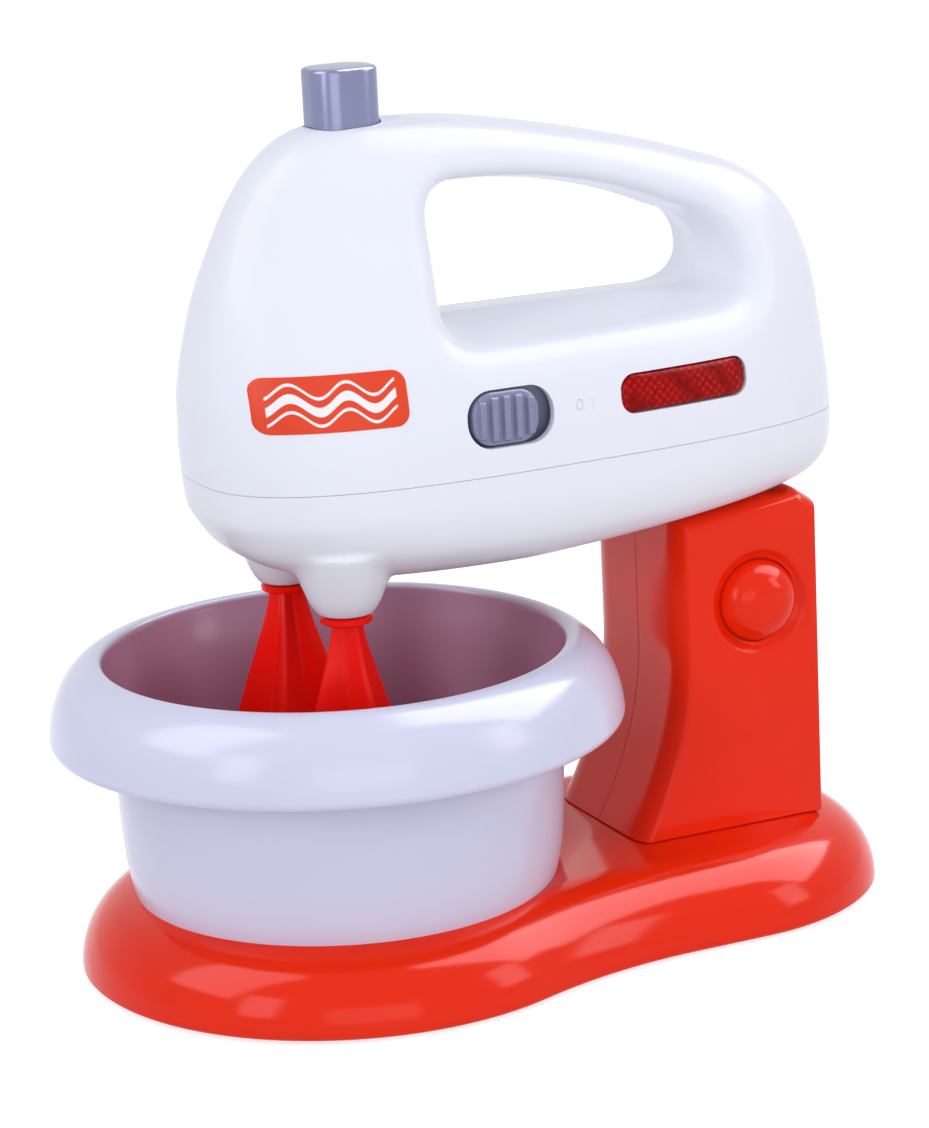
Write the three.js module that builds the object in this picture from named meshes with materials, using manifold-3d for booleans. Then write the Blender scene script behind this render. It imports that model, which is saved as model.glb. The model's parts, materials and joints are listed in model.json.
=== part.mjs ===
// Toy stand mixer: a tilting head with two beaters over a round bowl, on a red base and column.
// Millimetres, +Z up, +X from the bowl towards the column, -Y the side with the switch and the release knob.
// The model is built about the bowl's axis and moved at the end, so that the origin is under its middle.
import * as THREE from "three";
import { mergeVertices } from "three/addons/utils/BufferGeometryUtils.js";
import Module from "manifold-3d";

const wasm = await Module();
wasm.setup();

// Shared clearances and walls
const gap = 0.3;
const runningGap = 0.35;
const slideGap = 0.5;
const wall = 2.2;
const thinWall = 1.5;
const overrun = 2;
const smallestDetail = 0.05;

// Base
const footHeight = 1;
const footRadius = 7;
const footInsetShare = 0.72;
const baseHeight = 18.5;
const baseRim = 14.4;
const baseRearRadius = 52.5;
const baseRearOffset = 6.5;
const baseStraightLength = 19.9;
const baseDomeDepth = 18;
const basePlateThickness = 2.4;
const bowlSeatClearance = 1.2;
const bowlSeatDepth = 4.6;

// Screws
const screwHeadRadius = 2.7;
const screwHeadHeight = 1.3;
const screwShankRadius = 1.3;
const screwBossRadius = 3.6;
const screwThreadLength = 7.5;
const baseScrewX = 30;
const baseScrewY = 30;
const baseRearScrewOffset = 22;

// Bowl
const bowlFootRadius = 50.4;
const bowlWallFlare = 4.6;
const bowlFlangeWidth = 12.8;
const bowlFlangeDepth = 20;
const bowlHeight = 62.3;
const bowlThickness = 2.2;

// Column
const columnClearance = 13;
const columnDepth = 39.3;
const columnFootReach = 13.5;
const columnHalfWidth = 23.5;
const columnCurveHeight = 46.5;
const columnEdgeDepth = 8;
const columnEdgeInset = 3;
const columnPostRadius = 4;

// Head
const noseReach = 29.1;
const headOverhang = 12.5;
const headHalfWidth = 38;
const lowerShellHeight = 24.5;
const upperShellHeight = 81.3;
const headTaperShare = 0.243;
const headTaperSetback = 48;
const undersideRise = 8.64;
const undersideRun = 94.8;
const noseRound = 28;
const rearRound = 10;
const sideRound = 16;
const lipHeight = 2.5;
const lipThickness = 1.4;

// Handle opening
const openingSetback = 57.5;
const openingRearMargin = 31.5;
const openingRise = 33;
const handleThickness = 16.3;
const openingRearShare = 0.5;
const openingDraftAngle = 7.4;
const openingFillet = 7;
const openingFrontCorner = 7;
const openingRearLowCorner = 10;
const openingRearHighCorner = 15;

// Beater drive
const spindleX = -3.9;
const spindleY = 18.6;
const spindleWall = 1.25;
const nozzleClearance = 12.5;
const nozzleLength = 7.5;
const nozzleEdge = 1.9;
const nozzleFlare = 3.9;
const gearLift = 10;
const gearThickness = 4;
const gearTeeth = 16;
const wheelTeeth = 27;
const pinionTeeth = 9;
const wheelThickness = 3;
const hubRadius = 2.2;
const axleRadius = 1.4;
const gearPlateThickness = 1.6;
const gearPostRadius = 2.6;
const motorLength = 25;
const motorShaftRadius = 1;

// Beaters
const beaterClearance = 18.6;
const beaterNeck = 4.2;
const beaterBlades = 4;
const beaterTurn = 0.2;
const beaterHalfWidth = 15.5;
const beaterShaftRadius = 2.8;
const beaterCollarRadius = 6.3;
const beaterCollarThickness = 1.5;

// Eject button
const buttonSetback = 42.7;
const buttonLength = 16.8;
const buttonDepth = 15.4;
const buttonProud = 13.2;
const buttonSunk = 10.8;
const buttonCorner = 6;
const buttonTravel = 6;
const buttonFlange = 0.9;
const yokeThickness = 3;
const yokeWidth = 10;
const springWire = 0.8;
const springRadius = 3;

// Switch, lens and label on the near side
const switchSetback = 66.3;
const switchRise = 13.4;
const switchTravel = 3.5;
const slotHeight = 13.7;
const slotMargin = 2;
const thumbLength = 17;
const thumbProud = 1.2;
const thumbStart = 1.5;
const lensSetback = 53.6;
const lensRise = 14.4;
const lensLength = 36.5;
const lensDepth = 9.6;
const lensThickness = 2.4;
const lampRadius = 2.5;
const labelSetback = 24;
const labelRise = 21.2;
const labelLength = 34;
const labelDepth = 13;
const labelThickness = 0.35;

// Batteries
const cellRadius = 7.25;
const cellLength = 50.5;
const boxSetback = 21.9;
const doorThickness = 1.6;

// Tilt hinge and release knob
const hingeSetback = 5.8;
const knuckleRadius = 4.2;
const hingePinRadius = 1.5;
const tongueHalfWidth = 4.5;
const tiltRange = 35;
const bracketLength = 26;
const bracketRearReach = 2;
const bracketHalfWidth = 12;
const knobSetback = 17.1;
const knobDrop = 22.5;
const knobRadius = 10.4;
const knobProud = 7;
const knobRecessDepth = 2;
const knobStemRadius = 2.5;

// Heights, from the table up
const basePlateBottom = footHeight + gap;
const basePlateTop = basePlateBottom + basePlateThickness;
const baseTop = footHeight + baseHeight;
const seatFloor = baseTop - bowlSeatDepth;
const bowlFoot = seatFloor + gap;
const bowlTop = bowlFoot + bowlHeight;
const bowlFlangeBottom = bowlTop - bowlFlangeDepth;
const nozzleBottom = bowlTop + nozzleClearance;
const undersideFront = nozzleBottom + nozzleLength;
const seamHeight = undersideFront + lowerShellHeight;
const headTop = seamHeight + upperShellHeight;

// Places from the bowl's axis towards the column
const bowlWallRadius = bowlFootRadius + bowlWallFlare;
const bowlOpeningRadius = bowlWallRadius + bowlThickness;
const bowlFlangeRadius = bowlOpeningRadius + bowlFlangeWidth;
const bowlSeatRadius = bowlFootRadius + bowlSeatClearance;
const columnFront = bowlFlangeRadius + columnClearance;
const columnRear = columnFront + columnDepth;
const columnFootFront = columnFront - columnFootReach;
const baseRearX = columnFront + baseRearOffset;
const headNose = spindleX - noseReach;
const headRear = columnRear + headOverhang;
const headLength = headRear - headNose;
const headTaperStart = headNose + headTaperSetback;

// Head's underside: level over the bowl, and rising towards the rear.
const undersidePower = 1.3;
function undersideAt(x) {
  const along = Math.max(0, (x - headRear + undersideRun) / undersideRun);
  return undersideFront + undersideRise * along ** undersidePower;
}
const columnTopFront = undersideAt(columnFront) - slideGap;
const hingeX = columnRear - hingeSetback;
const hingeHeight = undersideAt(hingeX) - runningGap - knuckleRadius;

// Colours
function material(color, roughness, metalness = 0) {
  return new THREE.MeshStandardMaterial({ color, roughness, metalness });
}
const whitePlastic = material(0xf3f3f8, 0.25);
const redPlastic = material(0xdd2c12, 0.22);
const greyPlastic = material(0x8f8fad, 0.35);
const beaterPlastic = material(0xd81208, 0.3);
const lensPlastic = material(0x980c0b, 0.15);
const labelFilm = material(0xe8401c, 0.35);
const rubber = material(0x333338, 0.8);
const steel = material(0xb8bac0, 0.35, 1);
const brass = material(0xc8a95a, 0.35, 1);
const blackPlastic = material(0x26262a, 0.5);
const gearPlastic = material(0xf0ead8, 0.45);
const cellSkin = material(0x3f6f8f, 0.4);
const boardGreen = material(0x2c6e49, 0.5);

// Solids
function turned(triangles) {
  const out = triangles.slice();
  for (let i = 0; i < out.length; i += 3) [out[i + 1], out[i + 2]] = [out[i + 2], out[i + 1]];
  return out;
}

function solid(geometry) {
  const bare = geometry.clone();
  bare.deleteAttribute("normal");
  bare.deleteAttribute("uv");
  const merged = mergeVertices(bare, 1e-4);
  const numProp = 3;
  const vertProperties = merged.attributes.position.array;
  const triVerts = new Uint32Array(merged.index.array);
  const made = new wasm.Manifold(new wasm.Mesh({ numProp, vertProperties, triVerts }));
  if (made.volume() > 0) return made;
  return new wasm.Manifold(new wasm.Mesh({ numProp, vertProperties, triVerts: turned(triVerts) }));
}

function geometryOf(shape) {
  const mesh = shape.asOriginal().simplify(smallestDetail).getMesh();
  const geometry = new THREE.BufferGeometry();
  geometry.setAttribute("position", new THREE.BufferAttribute(new Float32Array(mesh.vertProperties), 3));
  geometry.setIndex(new THREE.BufferAttribute(new Uint32Array(mesh.triVerts), 1));
  geometry.computeVertexNormals();
  return geometry;
}

const joined = (...shapes) => shapes.reduce((sum, shape) => sum.add(shape));
const without = (shape, ...cuts) => cuts.reduce((left, cut) => left.subtract(cut), shape);
const bothSides = (make) => [-1, 1].map(make);

// Triangles between each point of a ring and its mirror image.
function stripCap(first, count, last) {
  const triangles = [];
  for (let i = 0; i < count / 2; i++) {
    const [a, b] = [first + i, first + i + 1];
    const [c, d] = [first + count - i - 1, first + ((count - i) % count)];
    if (i + 1 < count / 2) triangles.push(...(last ? [a, b, c] : [a, c, b]));
    if (i) triangles.push(...(last ? [a, c, d] : [a, d, c]));
  }
  return triangles;
}

// Triangles from the middle of a ring, and that middle.
function fanCap(ring, first, centre, last) {
  const triangles = [];
  for (let i = 0; i < ring.length; i++) {
    const a = first + i;
    const b = first + ((i + 1) % ring.length);
    triangles.push(...(last ? [a, b, centre] : [b, a, centre]));
  }
  const middle = ring.reduce((sum, p) => sum.map((v, k) => v + p[k] / ring.length), [0, 0, 0]);
  return { triangles, middle };
}

// A solid skin over closed rings of equal counts. Its ends are fans, or strips from side to side.
function loft(rings, strips = false) {
  const count = rings[0].length;
  const points = rings.flat();
  const triangles = [];
  for (let r = 0; r + 1 < rings.length; r++) {
    for (let i = 0; i < count; i++) {
      const a = r * count + i;
      const b = r * count + ((i + 1) % count);
      triangles.push(a, b, b + count, a, b + count, a + count);
    }
  }
  [0, rings.length - 1].forEach((r) => {
    const cap = fanCap(rings[r], r * count, points.length, r > 0);
    triangles.push(...(strips ? stripCap(r * count, count, r > 0) : cap.triangles));
    if (!strips) points.push(cap.middle);
  });
  const geometry = new THREE.BufferGeometry();
  geometry.setAttribute("position", new THREE.BufferAttribute(new Float32Array(points.flat()), 3));
  geometry.setIndex(triangles);
  return solid(geometry);
}

const extrude = (shape, depth, curveSegments = 8) =>
  new THREE.ExtrudeGeometry(shape, { depth, curveSegments, bevelEnabled: false });

// An outline in x and y, raised from one height to another.
const prismZ = (shape, low, high, curveSegments) =>
  solid(extrude(shape, high - low, curveSegments).translate(0, 0, low));

// An outline in x and z, run from one y to another.
const prismY = (shape, near, far, curveSegments) =>
  solid(extrude(shape, far - near, curveSegments).translate(0, 0, -far).rotateX(Math.PI / 2));

function box(x0, x1, y0, y1, z0, z1) {
  const geometry = new THREE.BoxGeometry(x1 - x0, y1 - y0, z1 - z0);
  return solid(geometry.translate((x0 + x1) / 2, (y0 + y1) / 2, (z0 + z1) / 2));
}

function rodZ(x, y, radius, z0, z1, sides = 16) {
  const geometry = new THREE.CylinderGeometry(radius, radius, z1 - z0, sides).rotateX(Math.PI / 2);
  return solid(geometry.translate(x, y, (z0 + z1) / 2));
}

function rodY(x, z, radius, y0, y1, sides = 16) {
  const geometry = new THREE.CylinderGeometry(radius, radius, y1 - y0, sides);
  return solid(geometry.translate(x, (y0 + y1) / 2, z));
}

function rodX(y, z, radius, x0, x1, sides = 16) {
  const geometry = new THREE.CylinderGeometry(radius, radius, x1 - x0, sides).rotateZ(Math.PI / 2);
  return solid(geometry.translate((x0 + x1) / 2, y, z));
}

function turnedZ(points, sides) {
  const profile = points.map(([radius, height]) => new THREE.Vector2(radius, height));
  return solid(new THREE.LatheGeometry(profile, sides).rotateX(Math.PI / 2));
}

function roundedRectangle(x, y, length, depth, corner) {
  const shape = new THREE.Shape();
  const left = x - length / 2 + corner;
  const right = x + length / 2 - corner;
  const low = y - depth / 2 + corner;
  const high = y + depth / 2 - corner;
  shape.absarc(right, high, corner, 0, Math.PI / 2);
  shape.absarc(left, high, corner, Math.PI / 2, Math.PI);
  shape.absarc(left, low, corner, Math.PI, 1.5 * Math.PI);
  shape.absarc(right, low, corner, 1.5 * Math.PI, 2 * Math.PI);
  shape.closePath();
  return shape;
}

const group = new THREE.Group();
function add(name, shape, skin) {
  const mesh = new THREE.Mesh(geometryOf(shape), skin);
  mesh.name = name;
  group.add(mesh);
}

// Screws: a slotted head and a plain shank.
const screwSlotHalf = screwHeadRadius / 6;
const screwHole = screwShankRadius + gap;
const screwPocket = screwHeadRadius + slideGap;

// A screw along +Z, given the height of its head's upper face.
function screwZ(x, y, headFace, length) {
  const slotTop = headFace - screwHeadHeight / 2;
  const head = rodZ(x, y, screwHeadRadius, headFace - screwHeadHeight, headFace, 12);
  const slot = box(x - screwHeadRadius, x + screwHeadRadius, y - screwSlotHalf, y + screwSlotHalf, 0, slotTop);
  const shank = rodZ(x, y, screwShankRadius, slotTop, headFace + length, 10);
  return joined(head.subtract(slot), shank);
}

function addScrews(name, places, headFace, length) {
  places.forEach(([x, y], i) => add(`${name}_${i + 1}`, screwZ(x, y, headFace, length), steel));
}
function holesZ(places, radius, low, high, sides = 10) {
  return places.map(([x, y]) => rodZ(x, y, radius, low, high, sides));
}

// Base outline: a round front, a narrower round rear and a hollow waist on each side.
const baseFrontRadius = bowlSeatRadius + baseRim;
const baseWaistX = baseRearX - baseStraightLength;
const baseRadiusStep = baseFrontRadius - baseRearRadius;
const baseWaistRadius = (baseWaistX ** 2 - baseFrontRadius ** 2 + baseRearRadius ** 2) / (2 * baseRadiusStep);

function arcPoints(x, y, radius, start, end, steps) {
  const points = [];
  for (let i = 0; i < steps; i++) {
    const angle = start + ((end - start) * i) / steps;
    points.push(new THREE.Vector2(x + radius * Math.cos(angle), y + radius * Math.sin(angle)));
  }
  return points;
}

function basePoints(inset) {
  const front = baseFrontRadius - inset;
  const rear = baseRearRadius - inset;
  const waist = baseWaistRadius + inset;
  const waistY = rear + waist;
  const meet = Math.atan2(waistY, baseWaistX);
  return [
    ...arcPoints(0, 0, front, meet, 2 * Math.PI - meet, 26),
    ...arcPoints(baseWaistX, -waistY, waist, Math.PI - meet, Math.PI / 2, 5),
    new THREE.Vector2(baseWaistX, -rear),
    ...arcPoints(baseRearX, 0, rear, -Math.PI / 2, Math.PI / 2, 18),
    ...arcPoints(baseWaistX, waistY, waist, -Math.PI / 2, meet - Math.PI, 5),
  ];
}

const baseOutline = (inset) => new THREE.Shape(basePoints(inset));
const baseRing = (inset, height) => basePoints(inset).map((p) => [p.x, p.y, height]);

// Rings of the domed cover: the edge curves in as it rises. The hollow has every other ring.
const domeStepShares = [0, 0.03, 0.1, 0.22, 0.4, 0.65, 1];
function dome(inset) {
  const shares = domeStepShares.filter((_, i) => inset <= 0 || i % 2 === 0);
  const rings = shares.map((share) => {
    const rise = Math.sqrt(1 - (1 - share) ** 2);
    return baseRing(inset + share * baseDomeDepth, footHeight + rise * (baseHeight - inset));
  });
  return loft(rings);
}

const baseBossBottom = basePlateTop + gap;
const baseScrewPlacesX = [-baseScrewX, baseRearX + baseRearScrewOffset];
const baseScrews = baseScrewPlacesX.flatMap((x) => bothSides((side) => [x, side * baseScrewY]));
const columnScrewX = [columnFront + columnPostRadius, columnRear - 3 * columnPostRadius];
const columnScrews = columnScrewX.flatMap((x) => bothSides((side) => [x, (side * columnHalfWidth) / 2]));

function baseCover() {
  const seatBlock = rodZ(0, 0, bowlSeatRadius + wall, seatFloor - wall, baseTop, 48);
  const bosses = holesZ(baseScrews, screwBossRadius, baseBossBottom, baseTop, 12);
  const bossEnds = holesZ(baseScrews, screwBossRadius, baseBossBottom, seatFloor - wall / 2, 12);
  const hollow = without(dome(wall), seatBlock, ...bosses);
  const open = prismZ(baseOutline(wall), footHeight - overrun, baseBossBottom);
  const bossHoles = holesZ(baseScrews, screwHole, 0, baseBossBottom + screwThreadLength);
  const columnHoles = holesZ(columnScrews, screwHole, seatFloor, baseTop + overrun);
  const seat = rodZ(0, 0, bowlSeatRadius, seatFloor, baseTop + overrun, 64);
  return without(joined(without(dome(0), hollow, open), ...bossEnds), seat, ...bossHoles, ...columnHoles);
}

function basePlate() {
  const plate = prismZ(baseOutline(wall + gap), basePlateBottom, basePlateTop);
  const holes = holesZ(baseScrews, screwHole, 0, baseTop);
  const pockets = holesZ(baseScrews, screwPocket, 0, basePlateBottom + screwHeadHeight + gap, 12);
  const access = holesZ(columnScrews, screwPocket, 0, baseTop, 12);
  return without(plate, ...holes, ...pockets, ...access);
}

add("base_cover", baseCover(), redPlastic);
add("base_plate", basePlate(), redPlastic);
const baseScrewLength = basePlateThickness + screwThreadLength / 2;
addScrews("base_screw", baseScrews, basePlateBottom + screwHeadHeight, baseScrewLength);
addScrews("column_screw", columnScrews, baseTop - wall - gap, screwThreadLength);
const footSpots = [
  [-baseFrontRadius * footInsetShare, 0],
  ...bothSides((side) => [0, side * baseFrontRadius * footInsetShare]),
  ...bothSides((side) => [baseRearX, side * baseRearRadius * footInsetShare]),
];
footSpots.forEach(([x, y], i) => add(`foot_${i + 1}`, rodZ(x, y, footRadius, 0, footHeight, 20), rubber));

// Bowl: a thin turned shell whose flange curls out and down.
const flangeShares = [0.15, 0.33, 0.5, 0.67, 0.84];
const underFlangeShares = [0.7, 0.35];
const bowlWallShares = [0.6, 0.35];
function crown(share) {
  const turn = (share * Math.PI) / 2;
  const radius = bowlOpeningRadius + bowlFlangeWidth * Math.sin(turn);
  return [radius, bowlTop - bowlFlangeDepth * (1 - Math.cos(turn))];
}

function underCrown(share) {
  const [radius, height] = crown(share);
  return [radius - bowlThickness * share, height - bowlThickness];
}

function bowlInside() {
  const inside = bowlWallRadius - bowlThickness;
  const wallHeight = bowlFlangeBottom - bowlFoot;
  return [
    [0, bowlFoot + bowlThickness],
    [bowlFootRadius - 4 * bowlThickness, bowlFoot + bowlThickness],
    [bowlFootRadius - bowlThickness, bowlFoot + 2.5 * bowlThickness],
    [inside - bowlThickness / 2, bowlFoot + wallHeight * bowlWallShares[1]],
    [inside, bowlFlangeBottom],
    [bowlOpeningRadius - bowlThickness / 2, bowlTop - bowlThickness],
  ];
}

function bowlOutside() {
  const wallHeight = bowlFlangeBottom - bowlFoot;
  const [wallHigh, wallLow] = bowlWallShares.map((share) => bowlFoot + wallHeight * share);
  return [
    [bowlFlangeRadius, bowlFlangeBottom + bowlThickness],
    [bowlFlangeRadius - bowlThickness / 2, bowlFlangeBottom],
    [bowlFlangeRadius - bowlThickness, bowlFlangeBottom + bowlThickness / 2],
    ...underFlangeShares.map(underCrown),
    [bowlWallRadius + bowlThickness / 4, bowlTop - 2.2 * bowlThickness],
    [bowlWallRadius, bowlFlangeBottom],
    [bowlWallRadius - bowlThickness / 4, wallHigh],
    [bowlWallRadius - bowlThickness / 2, wallLow],
    [bowlFootRadius + bowlThickness / 2, bowlFoot + 2.5 * bowlThickness],
    [bowlFootRadius, bowlFoot + bowlThickness],
    [bowlFootRadius - bowlThickness / 2, bowlFoot],
    [0, bowlFoot],
  ];
}
const bowlBrim = [[bowlOpeningRadius, bowlTop], ...flangeShares.map(crown)];
const bowlProfile = [...bowlInside(), ...bowlBrim, ...bowlOutside()];
add("bowl", turnedZ(bowlProfile, 36), whitePlastic);

// Column outline in x and z: a foot that swells forward, an upright rear and a knuckle at the top rear.
const columnCurveTop = baseTop + columnCurveHeight;
const rearEdgeShare = 0.4;
function columnOutline(wallInset, edgeInset) {
  const foot = baseTop - overrun;
  const inset = wallInset + edgeInset;
  const rear = columnRear - wallInset - edgeInset * rearEdgeShare;
  const knuckle = Math.max(knuckleRadius - inset, gap);
  const front = columnFront + inset;
  const footFront = columnFootFront + inset;
  const shape = new THREE.Shape();
  shape.moveTo(rear, foot);
  shape.lineTo(rear, hingeHeight);
  shape.absarc(hingeX, hingeHeight, knuckle, 0, Math.PI / 2);
  shape.lineTo(front, columnTopFront - inset);
  shape.lineTo(front, columnCurveTop);
  shape.quadraticCurveTo(front, (columnCurveTop + baseTop) / 2, footFront, baseTop);
  shape.lineTo(footFront - columnEdgeInset, foot);
  shape.closePath();
  return shape;
}

// The column's two side faces are drawn in by a curved edge.
const edgeStepShares = [0, 0.38, 0.71, 0.92, 1];
function columnRing(inset, extra, y) {
  const outline = columnOutline(inset, extra).getPoints(6).slice(0, -1);
  return outline.map((p) => [p.x, y, p.y]);
}

function columnBody(inset) {
  const side = edgeStepShares.map((share) => [
    columnEdgeInset * (1 - Math.sqrt(1 - share ** 2)),
    columnHalfWidth - inset - columnEdgeDepth * (1 - share),
  ]);
  const near = side.map(([extra, y]) => columnRing(inset, extra, -y)).reverse();
  return loft([...near, ...side.map(([extra, y]) => columnRing(inset, extra, y))]);
}

const knobX = columnRear - knobSetback;
const knobHeight = hingeHeight - knobDrop;
const stemSpace = knobStemRadius + 2 * gap;
const knobReach = Math.hypot(hingeX - knobX, hingeHeight - knobHeight);
const tongueReach = knobReach + stemSpace + thinWall;
const columnBottom = baseTop + gap;
const columnFloor = columnBottom + wall;
const sidePosts = [
  [columnFront + 2.2 * columnPostRadius, columnFloor + 2.5 * columnPostRadius],
  [knobX, knobHeight - knobRadius - 2.5 * columnPostRadius],
];
const sideHeadShare = 0.62;
const sideHeadFace = columnHalfWidth * sideHeadShare;
const hingePinShare = 0.8;
const hingePinEnd = columnHalfWidth * hingePinShare;
const guideFar = -tongueHalfWidth - 2 * gap;
const guideNear = guideFar - thinWall;
const farOut = 2 * columnRear;

function rodsY(places, radius, near, far, sides) {
  return places.map(([x, z]) => rodY(x, z, radius, near, far, sides));
}

function columnHollow() {
  const bossTop = columnFloor + screwThreadLength + wall;
  const floor = box(0, farOut, -farOut, farOut, 0, columnFloor);
  const bosses = holesZ(columnScrews, screwBossRadius, columnFloor - gap, bossTop, 12);
  const knuckle = rodY(hingeX, hingeHeight, knuckleRadius - gap, -farOut, farOut, 20);
  const guide = box(0, farOut, guideNear, guideFar, knobHeight - knobRadius, knobHeight + knobRadius);
  const posts = rodsY(sidePosts, columnPostRadius, -farOut, farOut, 12);
  return without(columnBody(wall), floor, ...bosses, knuckle, guide, ...posts);
}

// The slot in the column's top and rear, for the bracket to swing in.
function columnSlot() {
  const half = tongueHalfWidth + slideGap;
  return box(hingeX - tongueReach + wall, farOut, -half, half, hingeHeight - 2 * knuckleRadius, farOut);
}

function knobCuts() {
  const hole = rodY(knobX, knobHeight, knobRadius + slideGap, -farOut, -columnHalfWidth + 2 * wall, 40);
  const dish = rodY(knobX, knobHeight, knobRadius + wall, -farOut, -columnHalfWidth + knobRecessDepth / 2, 40);
  const stem = rodY(knobX, knobHeight, knobStemRadius + slideGap, -columnHalfWidth, 0, 16);
  return [hole, dish, stem];
}

function columnShell() {
  const foot = box(0, farOut, -farOut, farOut, 0, columnBottom);
  const screwHoles = holesZ(columnScrews, screwHole, 0, columnFloor + screwThreadLength);
  const postHoles = rodsY(sidePosts, screwHole, -columnHalfWidth / 2, farOut, 10);
  const postPockets = rodsY(sidePosts, screwPocket, sideHeadFace, farOut, 12);
  const pinHole = rodY(hingeX, hingeHeight, hingePinRadius + runningGap, -hingePinEnd, hingePinEnd, 16);
  const shell = without(columnBody(0), foot, columnHollow(), columnSlot(), pinHole);
  return without(shell, ...screwHoles, ...postHoles, ...postPockets, ...knobCuts());
}

const column = columnShell();
add("column_near_half", column.intersect(box(-farOut, farOut, -farOut, -gap / 2, 0, farOut)), redPlastic);
add("column_far_half", column.intersect(box(-farOut, farOut, gap / 2, farOut, 0, farOut)), redPlastic);

sidePosts.forEach(([x, z], i) => {
  const face = sideHeadFace + gap;
  const head = rodY(x, z, screwHeadRadius, face, face + screwHeadHeight, 12);
  const shank = rodY(x, z, screwShankRadius, gap - columnHalfWidth / 2, face + gap, 10);
  add(`column_side_screw_${i + 1}`, joined(head, shank), steel);
});
add("hinge_pin", rodY(hingeX, hingeHeight, hingePinRadius, gap - hingePinEnd, hingePinEnd - gap, 16), steel);

// Release knob: a domed cap with a flange behind the column's wall, and a stem through the guide.
const knobFace = columnHalfWidth - knobRecessDepth;
const knobFlangeFace = columnHalfWidth - wall - gap;
const knobFlangeBack = knobFlangeFace - wall;
const knobDomeShares = [
  [0, 1],
  [0.45, 0.93],
  [0.75, 0.7],
  [0.93, 0.4],
];
function releaseKnob() {
  const cap = [
    ...knobDomeShares.map(([out, up]) => [knobRadius * out, knobFace + knobProud * up]),
    [knobRadius, knobFace],
    [knobRadius, knobFlangeFace],
    [knobRadius + wall / 2, knobFlangeFace],
    [knobRadius + wall / 2, knobFlangeBack],
    [knobStemRadius, knobFlangeBack],
    [knobStemRadius, -tongueHalfWidth],
    [0, -tongueHalfWidth],
  ];
  const profile = cap.map(([radius, out]) => new THREE.Vector2(radius, -out));
  return solid(new THREE.LatheGeometry(profile, 32).translate(knobX, 0, knobHeight));
}
add("release_knob", releaseKnob(), redPlastic);

const springSides = 9;
function springBody(radius, low, high, turns) {
  const points = [];
  const steps = turns * springSides;
  const reach = high - low - springWire;
  for (let i = 0; i <= steps; i++) {
    const angle = (2 * Math.PI * i) / springSides;
    const height = low + springWire / 2 + (reach * i) / steps;
    points.push(new THREE.Vector3(radius * Math.cos(angle), radius * Math.sin(angle), height));
  }
  const ring = new THREE.Shape();
  ring.absarc(0, 0, springWire / 2, 0, 2 * Math.PI);
  const extrudePath = new THREE.CatmullRomCurve3(points);
  return new THREE.ExtrudeGeometry(ring, { steps, curveSegments: 3, extrudePath });
}
const knobSpring = springBody(knobStemRadius + slideGap + springWire, gap - knobFlangeBack, guideNear - gap, 4);
add("knob_spring", solid(knobSpring.rotateX(-Math.PI / 2).translate(knobX, 0, knobHeight)), steel);

// Head: level rings, as shares of the upper shell's height, the head's length and its half-width.
const upperLevelShares = [
  [0, 0.003, 0.001, 1],
  [0.098, 0, 0.003, 0.995],
  [0.221, 0, 0.009, 0.968],
  [0.344, 0.007, 0.015, 0.916],
  [0.443, 0.0165, 0.022, 0.858],
  [0.541, 0.0295, 0.037, 0.795],
  [0.627, 0.045, 0.059, 0.726],
  [0.701, 0.06, 0.094, 0.66],
  [0.763, 0.074, 0.142, 0.61],
  [0.818, 0.09, 0.218, 0.562],
  [0.867, 0.107, 0.298, 0.51],
  [0.91, 0.126, 0.383, 0.452],
  [0.947, 0.1475, 0.466, 0.385],
  [0.975, 0.172, 0.54, 0.305],
  [0.993, 0.198, 0.599, 0.21],
  [1, 0.23, 0.652, 0.1],
];

// The same for the lower shell: shares of its depth and of the rounding at the nose, rear and sides.
const lowerLevelShares = [
  [0, 0, 0, 0],
  [0.3, 0.03, 0.01, 0.01],
  [0.5, 0.12, 0.05, 0.05],
  [0.68, 0.24, 0.15, 0.14],
  [0.82, 0.42, 0.3, 0.3],
  [0.92, 0.64, 0.5, 0.5],
  [0.98, 0.84, 0.75, 0.75],
  [1, 1, 1, 1],
];
const frontPowers = [2.8, 2.3];
const rearPowers = [2.9, 2.5];
const ringCount = 36;

const taperAt = (x) => 1 - (headTaperShare * (x - headTaperStart)) / headLength;
const levelPower = (ahead, high) => {
  const [low, top] = ahead ? frontPowers : rearPowers;
  return low + (top - low) * high;
};

function planPoint(angle, front, rear, half, high) {
  const middle = (front + rear) / 2;
  const ahead = Math.cos(angle) < 0;
  const power = 2 / levelPower(ahead, high);
  const reach = ((rear - front) / 2) * Math.abs(Math.cos(angle)) ** power;
  const x = middle + (ahead ? -reach : reach);
  const side = half * Math.abs(Math.sin(angle)) ** power * taperAt(x);
  return [x, Math.sin(angle) < 0 ? -side : side];
}

function levelRing(front, rear, half, high, heightAt) {
  const ring = [];
  for (let i = 0; i < ringCount; i++) {
    const [x, y] = planPoint((2 * Math.PI * i) / ringCount, front, rear, half, high);
    ring.push([x, y, heightAt(x)]);
  }
  return ring;
}

// The hollow has every other ring, and stops where it is too narrow to mould.
function upperBody(inset, bottom) {
  const rings = [];
  const levels = upperLevelShares.filter((_, i) => inset <= 0 || i < 2 || i % 2 === 0);
  levels.forEach(([up, front, rear, width]) => {
    const half = headHalfWidth * width - inset;
    if (half < wall / 2) return;
    const height = up ? seamHeight + (upperShellHeight - inset) * up : bottom;
    const start = headNose + headLength * front + inset;
    const end = headRear - headLength * rear - inset;
    rings.push(levelRing(start, end, half, up, () => height));
  });
  return loft(rings, true);
}

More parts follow.
